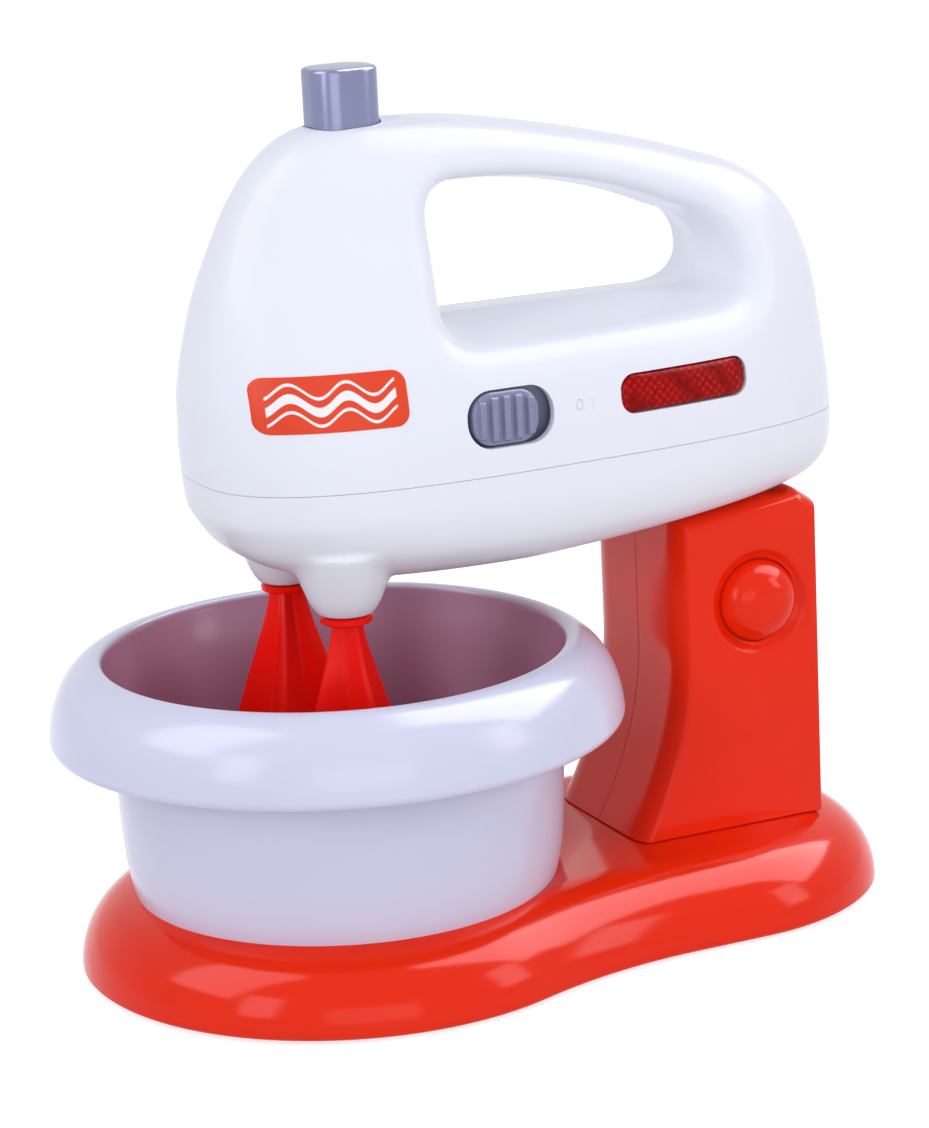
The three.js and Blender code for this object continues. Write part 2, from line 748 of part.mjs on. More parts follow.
function lowerBody(inset, top) {
  const [, seamFront, seamRear] = upperLevelShares[0];
  const rings = lowerLevelShares.map(([down, front, rear, side]) => {
    const start = headNose + headLength * seamFront + inset + noseRound * front;
    const end = headRear - headLength * seamRear - inset - rearRound * rear;
    const half = headHalfWidth - inset - sideRound * side;
    return levelRing(start, end, half, 0, (x) => {
      const low = undersideAt(x) + inset;
      return down ? seamHeight + (low - seamHeight) * down : top;
    });
  });
  return loft(rings, true);
}

// Half-width of the upper head at a place, from the level rings.
function headHalfWidthAt(x, z) {
  const up = THREE.MathUtils.clamp((z - seamHeight) / upperShellHeight, 0, 1);
  const next = Math.max(1, upperLevelShares.findIndex(([level]) => level >= up));
  const [a, b] = [upperLevelShares[next - 1], upperLevelShares[next]];
  const t = (up - a[0]) / (b[0] - a[0]);
  const [, front, rear, width] = a.map((v, i) => v + t * (b[i] - v));
  const start = headNose + headLength * front;
  const end = headRear - headLength * rear;
  const middle = (start + end) / 2;
  const power = levelPower(x < middle, up);
  const off = Math.min(1, Math.abs(x - middle) / ((end - start) / 2));
  return headHalfWidth * width * (1 - off ** power) ** (1 / power) * taperAt(x);
}

// Handle opening: an outline in x and z that widens from the middle plane to a rounded edge on each side.
const openingFront = headNose + openingSetback;
const openingRear = headRear - openingRearMargin;
const openingFloor = seamHeight + openingRise;
const openingTopFront = headTop - handleThickness;
const openingTopRear = openingFloor + (openingTopFront - openingFloor) * openingRearShare;
const openingKneeShare = 0.3;
function openingPoints() {
  const kneeX = openingRear - openingRearHighCorner;
  const kneeZ = openingTopRear + openingRearHighCorner * openingKneeShare;
  const frontCorner = openingFront + openingFrontCorner;
  const shape = new THREE.Shape();
  shape.moveTo(frontCorner, openingFloor);
  shape.lineTo(openingRear - openingRearLowCorner, openingFloor);
  shape.quadraticCurveTo(openingRear, openingFloor, openingRear, openingFloor + openingRearLowCorner / 2);
  shape.quadraticCurveTo(openingRear, openingTopRear, kneeX, kneeZ);
  shape.quadraticCurveTo((openingFront + openingRear) / 2, openingTopFront, frontCorner, openingTopFront);
  shape.quadraticCurveTo(openingFront, openingTopFront, openingFront, openingTopFront - openingFrontCorner);
  shape.lineTo(openingFront, openingFloor + openingFrontCorner);
  shape.quadraticCurveTo(openingFront, openingFloor, frontCorner, openingFloor);
  return shape.getPoints(5).slice(0, -1);
}

// Each outline point with its outward direction and the head's half-width beside it.
function openingSpots() {
  const outline = openingPoints();
  const count = outline.length;
  return outline.map((p, i) => {
    const along = outline[(i + 1) % count].clone().sub(outline[(i + count - 1) % count]).normalize();
    const out = new THREE.Vector2(along.y, -along.x);
    const edge = p.clone().addScaledVector(out, openingFillet);
    return { p, out, half: headHalfWidthAt(edge.x, edge.y) };
  });
}

const openingDraft = Math.tan(THREE.MathUtils.degToRad(openingDraftAngle));
const filletTurns = [0, 18, 36, 54, 72].map(THREE.MathUtils.degToRad);
const spotPlace = ({ p, out }, offset, y) => [p.x + out.x * offset, y, p.y + out.y * offset];

// A ring on the fillet at a turn, carried on along its slope by a length.
function filletRing(spots, grow, sign, turn, beyond = 0) {
  return spots.map((spot) => {
    const start = spot.half - openingFillet;
    const offset = grow + openingDraft * start + openingFillet * (1 - Math.cos(turn)) + beyond * Math.sin(turn);
    return spotPlace(spot, offset, sign * (start + openingFillet * Math.sin(turn) + beyond * Math.cos(turn)));
  });
}

function openingSide(spots, grow, sign) {
  const last = filletTurns.at(-1);
  const rings = filletTurns.map((turn) => filletRing(spots, grow, sign, turn));
  rings.push(filletRing(spots, grow, sign, last, overrun / Math.cos(last)));
  rings.push(rings.at(-1).map(([x, , z]) => [x, sign * 2 * headHalfWidth, z]));
  return rings;
}

function opening(grow) {
  const spots = openingSpots();
  const middle = spots.map((spot) => spotPlace(spot, grow, 0));
  return loft([...openingSide(spots, grow, -1).reverse(), middle, ...openingSide(spots, grow, 1)]);
}

// Battery box in the underside, between the drive and the column.
const boxFront = spindleX + boxSetback;
const boxRear = boxFront + cellLength + 2 * wall;
const boxHalf = 2 * cellRadius + 3 * gap;
const cellY = cellRadius + gap;
const doorTop = undersideAt(boxRear) + doorThickness;
const cellCentre = doorTop + 2 * gap + cellRadius;
const batteryRoof = cellCentre + cellRadius + gap;

// The door's rear ear, which takes a screw.
const doorEarRadius = screwPocket + thinWall;
const doorScrew = [[boxRear + doorEarRadius - thinWall, 0]];
const doorEarTop = doorTop + wall;
const doorScrewHead = undersideAt(doorScrew[0][0]) + screwHeadHeight;

// Bracket, and the screws that join the shells.
const bracketRear = hingeX + bracketRearReach;
const bracketFront = bracketRear - bracketLength;
const bracketBottom = undersideAt(bracketRear) + wall + gap;
const bracketTop = bracketBottom + wall;
const bracketScrewShare = 0.6;
const bracketScrewX = bracketFront + screwBossRadius + thinWall;
const bracketScrews = bothSides((side) => [bracketScrewX, side * bracketHalfWidth * bracketScrewShare]);
const headPostRadius = screwPocket + thinWall;
const headScrewShare = 0.62;
const headScrewFrontX = boxFront + (boxRear - boxFront) * headScrewShare;
const headScrewFront = [headScrewFrontX, boxHalf + thinWall + headPostRadius + 2 * slideGap];
const headScrewRear = [bracketRear - headPostRadius, bracketHalfWidth + headPostRadius + slideGap];
const headScrews = [headScrewFront, headScrewRear].flatMap(([x, y]) => bothSides((side) => [x, side * y]));
const headPostTop = seamHeight - 4 * wall;
const headScrewHead = headPostTop - wall;
const seamTop = seamHeight + gap;

const buttonX = headNose + buttonSetback;
const switchX = headNose + switchSetback;
const switchHeight = seamHeight + switchRise;
const slotLength = thumbStart + thumbLength + switchTravel + 2 * gap;
const lensX = headRear - lensSetback;
const lensHeight = seamHeight + lensRise;
const roundEndShare = 0.46;
const lensCornerShare = 0.4;

const buttonOutline = (grow) =>
  roundedRectangle(buttonX, 0, buttonLength + 2 * grow, buttonDepth + 2 * grow, buttonCorner + grow);
const slotCorner = slotHeight * roundEndShare;
const slotOutline = () => roundedRectangle(switchX, switchHeight, slotLength, slotHeight, slotCorner);
function lensOutline(shrink) {
  const depth = lensDepth - 2 * shrink;
  return roundedRectangle(lensX, lensHeight, lensLength - 2 * shrink, depth, depth * lensCornerShare);
}

const outerUpper = upperBody(0, seamTop);
const nearSide = -2 * headHalfWidth;

function upperShell() {
  const bossBottom = headPostTop + gap;
  const cavity = upperBody(wall, seamTop - overrun);
  const bosses = holesZ(headScrews, screwBossRadius, bossBottom, headTop, 12);
  const hollow = without(cavity, opening(wall), ...bosses);
  const ends = holesZ(headScrews, screwBossRadius, bossBottom, seamTop + wall, 12);
  const holes = holesZ(headScrews, screwHole, 0, bossBottom + screwThreadLength);
  const button = prismZ(buttonOutline(slideGap), openingTopFront, headTop + buttonProud, 4);
  const slot = prismY(slotOutline(), nearSide, 0, 5);
  const lens = prismY(lensOutline(0), nearSide, 0, 5);
  return without(joined(without(outerUpper, hollow), ...ends), opening(0), button, slot, lens, ...holes);
}
add("upper_shell", upperShell(), whitePlastic);

// Gear row across the head: near spindle, drive gear, idler and far spindle.
// The wheel on the drive gear clears the near push pin.
const spindleBore = beaterShaftRadius + runningGap;
const spindleRadius = spindleBore + spindleWall;
const nozzleBore = spindleRadius + runningGap;
const pushPinRadius = beaterShaftRadius - slideGap;
const gearPitch = spindleY / 3;
const gearModule = (2 * gearPitch) / gearTeeth;
const driveY = -gearPitch;
const toothTipShare = 0.8;
const wheelTip = 2 * gearPitch - pushPinRadius - slideGap;
const wheelRadius = wheelTip / (1 + (2 * toothTipShare) / wheelTeeth);
const wheelModule = (2 * wheelRadius) / wheelTeeth;
const pinionRadius = (wheelModule * pinionTeeth) / 2;
const motorX = spindleX + wheelRadius + pinionRadius;
const motorRadius = motorX - spindleX - yokeThickness / 2 - 2 * slideGap;

const gearBottom = undersideFront + gearLift;
const gearTop = gearBottom + gearThickness;
const gearPlateBottom = gearTop + gap;
const gearPlateTop = gearPlateBottom + gearPlateThickness;
const wheelBottom = gearPlateTop + gap;
const wheelTop = wheelBottom + wheelThickness;
const axleBottom = undersideFront + wall + 2 * gap;
const axleBore = axleRadius + runningGap;

const gearPostFront = spindleX - 2 * gearPitch;
const gearPostRear = boxFront - thinWall - gearPostRadius - 3 * gap;
const gearPostY = spindleY + gearPostRadius;
const gearPosts = [[gearPostFront, 0], ...bothSides((side) => [gearPostRear, side * gearPostY])];

const boxOutline = (grow) =>
  roundedRectangle((boxFront + boxRear) / 2, 0, boxRear - boxFront + 2 * grow, 2 * (boxHalf + grow), thinWall);

function nozzle(side) {
  const bottomRadius = nozzleBore + 0.75 * wall;
  const waistRadius = bottomRadius + nozzleEdge;
  const topRadius = waistRadius + nozzleFlare;
  const top = gearBottom - 2 * gap;
  const profile = [
    [0, nozzleBottom],
    [bottomRadius, nozzleBottom],
    [waistRadius - wall / 4, nozzleBottom + wall / 3],
    [waistRadius, nozzleBottom + wall],
    [topRadius - wall / 2, undersideFront + wall],
    [topRadius - wall / 8, undersideFront + 3 * wall],
    [topRadius, top],
    [0, top],
  ];
  return turnedZ(profile, 24).translate([spindleX, side * spindleY, 0]);
}

function lipBody(inset, top) {
  const [, front, rear] = upperLevelShares[0];
  const start = headNose + headLength * front + inset;
  const end = headRear - headLength * rear - inset;
  const rings = [seamHeight - 2 * lipHeight, top].map((height) =>
    levelRing(start, end, headHalfWidth - inset, 0, () => height),
  );
  return loft(rings, true);
}

function lowerHollow() {
  const low = undersideFront;
  const half = boxHalf + thinWall;
  const batteryBox = box(boxFront - thinWall, boxRear + thinWall, -half, half, low, batteryRoof + thinWall);
  const headPosts = holesZ(headScrews, headPostRadius, low, headPostTop, 12);
  const gearLegs = holesZ(gearPosts, gearPostRadius, low, gearPlateBottom - gap);
  const bracketLegs = holesZ(bracketScrews, screwBossRadius, low, bracketBottom - gap, 12);
  const doorLeg = holesZ(doorScrew, doorEarRadius, low, doorEarTop + screwThreadLength + wall, 12);
  const cavity = lowerBody(wall, seamHeight + overrun);
  return without(cavity, batteryBox, ...headPosts, ...gearLegs, ...bracketLegs, ...doorLeg);
}

function lowerCuts() {
  const webHalf = tongueHalfWidth + gap;
  return [
    ...bothSides((side) => rodZ(spindleX, side * spindleY, nozzleBore, 0, gearBottom, 20)),
    ...bothSides((side) => rodZ(spindleX, side * gearPitch, axleBore, axleBottom - gap, gearBottom, 12)),
    prismZ(boxOutline(0), 0, batteryRoof, 3),
    ...holesZ(doorScrew, doorEarRadius + gap, 0, doorEarTop + gap, 12),
    ...holesZ(doorScrew, screwHole, 0, doorEarTop + screwThreadLength),
    ...holesZ(headScrews, screwPocket, 0, headScrewHead, 12),
    ...holesZ(headScrews, screwHole, 0, seamHeight),
    box(webFront - slideGap, webRear + slideGap, -webHalf, webHalf, 0, seamHeight),
    ...holesZ(bracketScrews, screwHole, bracketBottom - screwThreadLength + wall, seamHeight),
  ];
}

const webFront = knobX - 2 * knobStemRadius;
const webRear = hingeX + knuckleRadius;
function lowerShell() {
  const lipTop = seamHeight + lipHeight;
  const lip = without(lipBody(wall + gap, lipTop), lipBody(wall + gap + lipThickness, lipTop + overrun));
  const skin = without(lowerBody(0, seamHeight), lowerHollow());
  return without(joined(skin, lip, ...bothSides(nozzle)), ...lowerCuts());
}
add("lower_shell", lowerShell(), whitePlastic);
addScrews("head_screw", headScrews, headScrewHead - gap, screwThreadLength + wall);

function batteryDoor() {
  const plate = prismZ(boxOutline(-gap), 0, doorTop, 3);
  const ear = rodZ(...doorScrew[0], doorEarRadius, 0, doorEarTop, 12);
  const skin = lowerBody(0, seamHeight).intersect(joined(plate, ear));
  const pocket = rodZ(...doorScrew[0], screwPocket, 0, doorScrewHead + gap, 12);
  return without(skin, pocket, rodZ(...doorScrew[0], screwHole, 0, seamHeight, 10));
}
add("battery_door", batteryDoor(), whitePlastic);
const doorScrewLength = doorEarTop - doorScrewHead + screwThreadLength - wall;
add("door_screw", screwZ(...doorScrew[0], doorScrewHead, doorScrewLength), steel);

// Two cells side by side, with a contact plate at each end.
const cellTipShare = 0.38;
bothSides((side) => side).forEach((side, i) => {
  const start = boxFront + wall;
  const body = rodX(side * cellY, cellCentre, cellRadius, start + gap, start + cellLength - wall / 2, 20);
  const end = start + cellLength;
  const tip = rodX(side * cellY, cellCentre, cellRadius * cellTipShare, end - wall, end - gap, 12);
  add(`battery_cell_${i + 1}`, joined(body, tip), cellSkin);
});
const contactThickness = wall - 3 * gap;
function contact(x) {
  const half = boxHalf - thinWall - gap;
  const low = cellCentre - cellRadius / 2;
  return box(x, x + contactThickness, -half, half, low, low + cellRadius);
}
add("battery_contact_front", contact(boxFront + gap), brass);
add("battery_contact_rear", contact(boxRear - gap - contactThickness), brass);

// Gears: the teeth's corners as shares of a tooth's turn and of the module.
const toothShares = [
  [-0.29, -1.15],
  [-0.12, toothTipShare],
  [0.12, toothTipShare],
  [0.29, -1.15],
];
function gearShape(x, y, radius, teeth, size, phase) {
  const points = [];
  for (let i = 0; i < teeth; i++) {
    toothShares.forEach(([turn, lift]) => {
      const angle = ((i + turn) * 2 * Math.PI) / teeth + phase;
      const reach = radius + lift * size;
      points.push(new THREE.Vector2(x + reach * Math.cos(angle), y + reach * Math.sin(angle)));
    });
  }
  return new THREE.Shape(points);
}

// Every other gear of the row is turned by half a tooth, so that the row meshes.
function rowGear(index, y) {
  const phase = Math.PI / 2 + (index % 2 ? Math.PI / gearTeeth : 0);
  return prismZ(gearShape(spindleX, y, gearPitch, gearTeeth, gearModule, phase), gearBottom, gearTop);
}

function spindle(index, y) {
  const tube = rodZ(spindleX, y, spindleRadius, nozzleBottom + wall / 2, gearTop, 20);
  return without(joined(rowGear(index, y), tube), rodZ(spindleX, y, spindleBore, 0, seamHeight, 16));
}
add("spindle_near", spindle(0, -spindleY), gearPlastic);
add("spindle_far", spindle(3, spindleY), gearPlastic);
const idlerBore = rodZ(spindleX, gearPitch, axleBore, 0, seamHeight, 12);
add("idler_gear", without(rowGear(2, gearPitch), idlerBore), gearPlastic);

function driveGear() {
  const wheelOutline = gearShape(spindleX, driveY, wheelRadius, wheelTeeth, wheelModule, 0);
  const wheel = prismZ(wheelOutline, wheelBottom, wheelTop);
  const hub = rodZ(spindleX, driveY, hubRadius, gearBottom, wheelTop, 14);
  const shaft = rodZ(spindleX, driveY, axleRadius, axleBottom, gearBottom + gap, 12);
  return joined(rowGear(1, driveY), hub, wheel, shaft);
}
add("drive_gear", driveGear(), gearPlastic);

function gearPlate() {
  const length = gearPostRear - gearPostFront + 2 * gearPostRadius;
  const width = 2 * spindleY + 4 * gearPostRadius;
  const outline = roundedRectangle((gearPostRear + gearPostFront) / 2, 0, length, width, 3 * gearPostRadius);
  const plate = prismZ(outline, gearPlateBottom, gearPlateTop, 3).intersect(lowerBody(wall + gap, seamHeight));
  const axle = rodZ(spindleX, gearPitch, axleRadius, axleBottom, gearPlateBottom + gap, 12);
  const pinHoles = bothSides((side) => rodZ(spindleX, side * spindleY, spindleBore, 0, seamHeight, 16));
  const hubHole = rodZ(spindleX, driveY, hubRadius + runningGap, 0, seamHeight, 14);
  return without(joined(plate, axle), ...pinHoles, hubHole);
}
add("gear_plate", gearPlate(), greyPlastic);

// Motor on its plate over the battery box, with its pinion beside the wheel.
const motorPlateBottom = Math.max(wheelTop, batteryRoof + thinWall) + gap;
const motorPlateTop = motorPlateBottom + gearPlateThickness;
const motorBottom = motorPlateTop + gap;
const motorShaftTop = motorBottom + motorLength / 4;
function motorPlate() {
  const [front, rear] = [motorX - 2 * pinionRadius, motorX + 2 * motorRadius];
  const [near, far] = [driveY - motorRadius, driveY + 2 * motorRadius];
  const plate = box(front, rear, near, far, motorPlateBottom, motorPlateTop);
  return without(plate, rodZ(motorX, driveY, pinionRadius + wheelModule + gap, 0, seamHeight, 16));
}
add("motor_plate", motorPlate(), greyPlastic);

const motorCan = rodZ(motorX, driveY, motorRadius, motorBottom, motorBottom + motorLength, 24);
const shaftSpace = rodZ(motorX, driveY, motorShaftRadius + runningGap, 0, motorShaftTop, 12);
add("motor", without(motorCan, shaftSpace), steel);
const pinionPhase = Math.PI + Math.PI / pinionTeeth;
const pinionOutline = gearShape(motorX, driveY, pinionRadius, pinionTeeth, wheelModule, pinionPhase);
const motorShaft = rodZ(motorX, driveY, motorShaftRadius, wheelTop - gap, motorShaftTop - gap, 10);
add("motor_pinion", joined(prismZ(pinionOutline, wheelBottom, wheelTop), motorShaft), brass);

// Beaters: a shaft, a collar under the nozzle and a solid fluted body that widens downwards.
const collarTop = nozzleBottom - gap;
const bladeTop = collarTop - beaterCollarThickness;
const beaterBottom = bowlFoot + bowlThickness + beaterClearance;
const fluteDepthShare = 0.5;
const fluteTurnShares = [-0.04, 0.04, 0.3, 0.5, 0.7];
const beaterLevelShares = [
  [0, 0],
  [0.1, 0.1],
  [0.3, 0.4],
  [0.5, 0.72],
  [0.65, 0.93],
  [0.76, 1],
  [0.87, 0.94],
  [0.95, 0.75],
  [1, 0.5],
];

function beaterRing(reach, height, turn) {
  return Array.from({ length: beaterBlades * fluteTurnShares.length }, (_, i) => {
    const blade = Math.floor(i / fluteTurnShares.length);
    const share = fluteTurnShares[i % fluteTurnShares.length];
    const angle = turn + ((blade + share) * 2 * Math.PI) / beaterBlades;
    const radius = reach * (1 - fluteDepthShare * Math.sin(Math.PI * Math.max(0, share)) ** 0.7);
    return [radius * Math.cos(angle), radius * Math.sin(angle), height];
  });
}

function beater(side, turn) {
  const rings = beaterLevelShares.map(([down, wide]) => {
    const reach = beaterNeck + (beaterHalfWidth - beaterNeck) * wide;
    return beaterRing(reach, bladeTop - (bladeTop - beaterBottom) * down, turn);
  });
  const collar = rodZ(0, 0, beaterCollarRadius, bladeTop - gap, collarTop, 24);
  const shaft = rodZ(0, 0, beaterShaftRadius, bladeTop, gearTop, 16);
  return joined(loft(rings), collar, shaft).translate([spindleX, side * spindleY, 0]);
}
add("beater_near", beater(-1, beaterTurn), beaterPlastic);
add("beater_far", beater(1, beaterTurn + Math.PI / beaterBlades), beaterPlastic);

// Eject button and the yoke that pushes both beaters down.
const buttonFlangeTop = headTop - buttonSunk;
const buttonFlangeBottom = buttonFlangeTop - wall;
function ejectButton() {
  const post = prismZ(buttonOutline(0), buttonFlangeBottom, headTop + buttonProud, 4);
  return joined(post, prismZ(buttonOutline(buttonFlange), buttonFlangeBottom, buttonFlangeTop, 4));
}
add("eject_button", ejectButton(), greyPlastic);

const yokeTop = buttonFlangeBottom - gap;
const yokeBeamBottom = wheelTop + buttonTravel + 1.5 * wall;
function ejectYoke() {
  const [front, rear] = [spindleX - yokeThickness / 2, spindleX + yokeThickness / 2];
  const half = yokeWidth / 2;
  const reach = spindleY + pushPinRadius;
  const stem = box(front, rear, -half, half, yokeBeamBottom, yokeTop);
  const beam = box(front, rear, -reach, reach, yokeBeamBottom, yokeBeamBottom + yokeThickness);
  const pad = box(front, buttonX + buttonLength / 4, -half, half, yokeTop - yokeThickness, yokeTop);
  const pinTop = yokeBeamBottom + gap;
  const pins = bothSides((side) => rodZ(spindleX, side * spindleY, pushPinRadius, gearTop + gap, pinTop, 12));
  return joined(stem, beam, pad, ...pins);
}
add("eject_yoke", ejectYoke(), greyPlastic);
const ejectSpring = springBody(springRadius, gearPlateTop + gap, yokeBeamBottom - gap, 5);
add("eject_spring", solid(ejectSpring.translate(spindleX, gearPitch + springRadius, 0)), steel);

// Slide switch: a grey plate behind the slot, a ribbed thumb that stands proud, and its body.
const switchFace = -headHalfWidthAt(switchX, switchHeight);
const slotPlateEdge = switchHeight + slotHeight / 2 + slotMargin;
const slotPlateNear = wall + 3 * gap - headHalfWidthAt(switchX, slotPlateEdge);
const switchBodyNear = slotPlateNear + thinWall + gap;
const thumbX = switchX - slotLength / 2 + thumbStart + thumbLength / 2;
const thumbGrooveShares = [-0.3, -0.1, 0.1, 0.3];
function slotPlate() {
  const length = slotLength + 2 * slotMargin;
  const outline = roundedRectangle(switchX, switchHeight, length, slotHeight + 2 * slotMargin, slotMargin);
  return prismY(outline, slotPlateNear, slotPlateNear + thinWall, 3);
}
add("slot_plate", slotPlate(), greyPlastic);

function switchThumb() {
  const depth = slotHeight - 2 * slideGap;
  const near = switchFace - thumbProud;
  const outline = roundedRectangle(thumbX, switchHeight, thumbLength, depth, depth * lensCornerShare);
  const grooves = thumbGrooveShares.map((share) => {
    const x = thumbX + share * thumbLength;
    return box(x - gap, x + gap, 2 * near, near + thinWall / 2, switchHeight - depth, switchHeight + depth);
  });
  return without(prismY(outline, near, slotPlateNear - gap, 5), ...grooves);
}
add("switch_thumb", switchThumb(), greyPlastic);

const switchBodyShare = 0.4;
function switchBody() {
  const [low, high] = bothSides((side) => switchHeight + side * slotHeight * switchBodyShare);
  const [front, rear] = bothSides((side) => switchX + (side * thumbLength) / 2);
  return box(front, rear, switchBodyNear, switchBodyNear + slotHeight / 2, low, high);
}
add("switch_body", switchBody(), blackPlastic);

// Indicator lens, flush with the shell, with a lamp on a small board behind it.
const lensBlock = prismY(lensOutline(gap), nearSide, -gap, 5);
const lensSheet = without(outerUpper, upperBody(lensThickness, seamTop - overrun));
add("lens", lensSheet.intersect(lensBlock), lensPlastic);
const lampNear = lensThickness + gap - headHalfWidthAt(lensX, lensHeight + lampRadius);
const lampFar = lampNear + 2 * lampRadius;
add("lamp", rodY(lensX, lensHeight, lampRadius, lampNear, lampFar, 16), lensPlastic);
function lampBoard() {
  const [front, rear] = bothSides((side) => lensX + (side * lensLength) / 3);
  const [low, high] = bothSides((side) => lensHeight + (side * lensDepth) / 2);
  return box(front, rear, lampFar + gap, lampFar + gap + thinWall, low, high);
}
add("lamp_board", lampBoard(), boardGreen);

// Plain label on the nose, a thin sheet over the curved side.
const labelBack = upperBody(-gap / 2, seamTop - overrun);
const labelSheet = without(upperBody(-labelThickness - gap / 2, seamTop), labelBack);
const labelX = headNose + labelSetback;
const labelOutline = roundedRectangle(labelX, seamHeight + labelRise, labelLength, labelDepth, labelDepth / 4);
add("label", labelSheet.intersect(prismY(labelOutline, nearSide, -gap, 3)), labelFilm);

// Tilt bracket: a plate inside the head, a web through its floor, the hinge knuckle and the slotted tongue.
const knobAngle = Math.atan2(knobHeight - hingeHeight, knobX - hingeX);
const stemTurn = stemSpace / knobReach;
function tongueSlot() {
  const shape = new THREE.Shape();
  const start = knobAngle - stemTurn;
  const end = knobAngle + THREE.MathUtils.degToRad(tiltRange) + 2 * stemTurn;
  shape.absarc(hingeX, hingeHeight, knobReach + stemSpace, start, end);
  shape.absarc(hingeX, hingeHeight, knobReach - stemSpace, end, start, true);
  shape.closePath();
  return shape;
}

function tongueOutline() {
  const shape = new THREE.Shape();
  shape.absarc(hingeX, hingeHeight, tongueReach, knobAngle - 2 * stemTurn, knobAngle + 2 * stemTurn);
  shape.lineTo(hingeX, hingeHeight);
  shape.closePath();
  return shape;
}

function tiltBracket() {
  const half = tongueHalfWidth;
  const plate = box(bracketFront, bracketRear, -bracketHalfWidth, bracketHalfWidth, bracketBottom, bracketTop);
  const web = box(webFront, webRear, -half, half, hingeHeight, bracketTop);
  const tongue = prismY(tongueOutline(), -half, half, 5);
  const knuckle = rodY(hingeX, hingeHeight, knuckleRadius, -half, half, 20);
  const pinHole = rodY(hingeX, hingeHeight, hingePinRadius + runningGap, -columnHalfWidth, columnHalfWidth, 16);
  const slot = prismY(tongueSlot(), -columnHalfWidth, columnHalfWidth, 8);
  const screwHoles = holesZ(bracketScrews, screwHole, 0, headTop);
  return without(joined(plate, web, tongue, knuckle), pinHole, slot, ...screwHoles);
}
add("tilt_bracket", tiltBracket(), greyPlastic);
bracketScrews.forEach(([x, y], i) => {
  const face = bracketTop + gap;
  const head = rodZ(x, y, screwHeadRadius, face, face + screwHeadHeight, 12);
  const shank = rodZ(x, y, screwShankRadius, bracketBottom - screwThreadLength + 2 * wall, face + gap, 10);
  add(`bracket_screw_${i + 1}`, joined(head, shank), steel);
});

const middleX = (baseRearX + baseRearRadius - bowlFlangeRadius) / 2;
group.position.x = -middleX;
export default group;
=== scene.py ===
"""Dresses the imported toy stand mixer: smooth shells, turned bowl, fluted beaters, moulded plastic.

Shapes are worked out in millimetres, with x counted from the bowl's axis, and turned into the
frame's metres last.
"""
import json
import math

import bmesh
import bpy
import numpy as np
from mathutils import Matrix, Vector


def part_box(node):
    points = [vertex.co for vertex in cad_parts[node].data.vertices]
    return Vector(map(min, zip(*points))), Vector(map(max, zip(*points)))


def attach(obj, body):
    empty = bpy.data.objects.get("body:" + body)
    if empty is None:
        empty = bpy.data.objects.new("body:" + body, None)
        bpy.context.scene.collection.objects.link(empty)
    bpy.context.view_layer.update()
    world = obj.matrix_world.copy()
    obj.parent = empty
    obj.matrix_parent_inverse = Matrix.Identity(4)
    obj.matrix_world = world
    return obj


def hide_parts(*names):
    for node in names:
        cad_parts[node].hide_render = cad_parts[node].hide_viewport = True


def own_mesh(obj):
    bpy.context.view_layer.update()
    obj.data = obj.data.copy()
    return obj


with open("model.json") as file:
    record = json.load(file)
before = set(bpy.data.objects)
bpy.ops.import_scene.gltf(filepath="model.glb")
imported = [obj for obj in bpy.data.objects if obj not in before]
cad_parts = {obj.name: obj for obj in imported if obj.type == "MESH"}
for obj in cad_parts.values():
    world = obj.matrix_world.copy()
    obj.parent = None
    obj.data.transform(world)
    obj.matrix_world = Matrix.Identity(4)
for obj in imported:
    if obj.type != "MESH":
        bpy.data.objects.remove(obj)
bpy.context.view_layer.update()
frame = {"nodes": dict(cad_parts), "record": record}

MM = 0.001
BOWL_AXIS_X = -36.0
GAP = 0.3
WALL = 2.2
SHARP = 38

# Camera fitted to the photograph
CAMERA_AZIMUTH = -0.4249
CAMERA_ELEVATION = 0.2505
CAMERA_ROLL = 0.0485
CAMERA_DISTANCE = 882.6
CAMERA_FOCAL_PX = 3600.0
CAMERA_TARGET = (35.82, 0.0, 91.97)
IMAGE_HEIGHT = 1128
SENSOR = 36.0

# Head
HEAD_NOSE = -33.0
HEAD_REAR = 134.8
HEAD_LENGTH = HEAD_REAR - HEAD_NOSE
HEAD_HALF = 38.0
SEAM_Z = 122.0
HEAD_TOP = 203.3
HEAD_TAPER = 0.00145
TAPER_START = 15.0
UNDERSIDE_Z = 97.5
UNDERSIDE_RISE = 7.5
RISE_START = 40.0
RISE_LENGTH = 85.0
NOSE_ROUND = 28.0
REAR_ROUND = 10.0
SIDE_ROUND = 16.0
TOP_BLEND = 1.5
UNDERSIDE_BLEND = 1.0
FRONT_POWERS = (2.8, 2.3)
REAR_POWERS = (2.9, 2.5)
UPPER_LEVELS = np.array([
    # height, front, rear, half-width, all as shares
    (0, 0.003, 0.001, 1),
    (0.098, 0, 0.003, 0.995),
    (0.221, 0, 0.009, 0.968),
    (0.344, 0.007, 0.015, 0.916),
    (0.443, 0.0165, 0.022, 0.858),
    (0.541, 0.0295, 0.037, 0.795),
    (0.627, 0.045, 0.059, 0.726),
    (0.701, 0.06, 0.094, 0.66),
    (0.763, 0.074, 0.142, 0.61),
    (0.818, 0.09, 0.218, 0.562),
    (0.867, 0.107, 0.298, 0.51),
    (0.91, 0.126, 0.383, 0.452),
    (0.947, 0.1475, 0.466, 0.385),
    (0.975, 0.172, 0.54, 0.305),
    (0.993, 0.198, 0.599, 0.21),
    (1, 0.23, 0.652, 0.1),
])
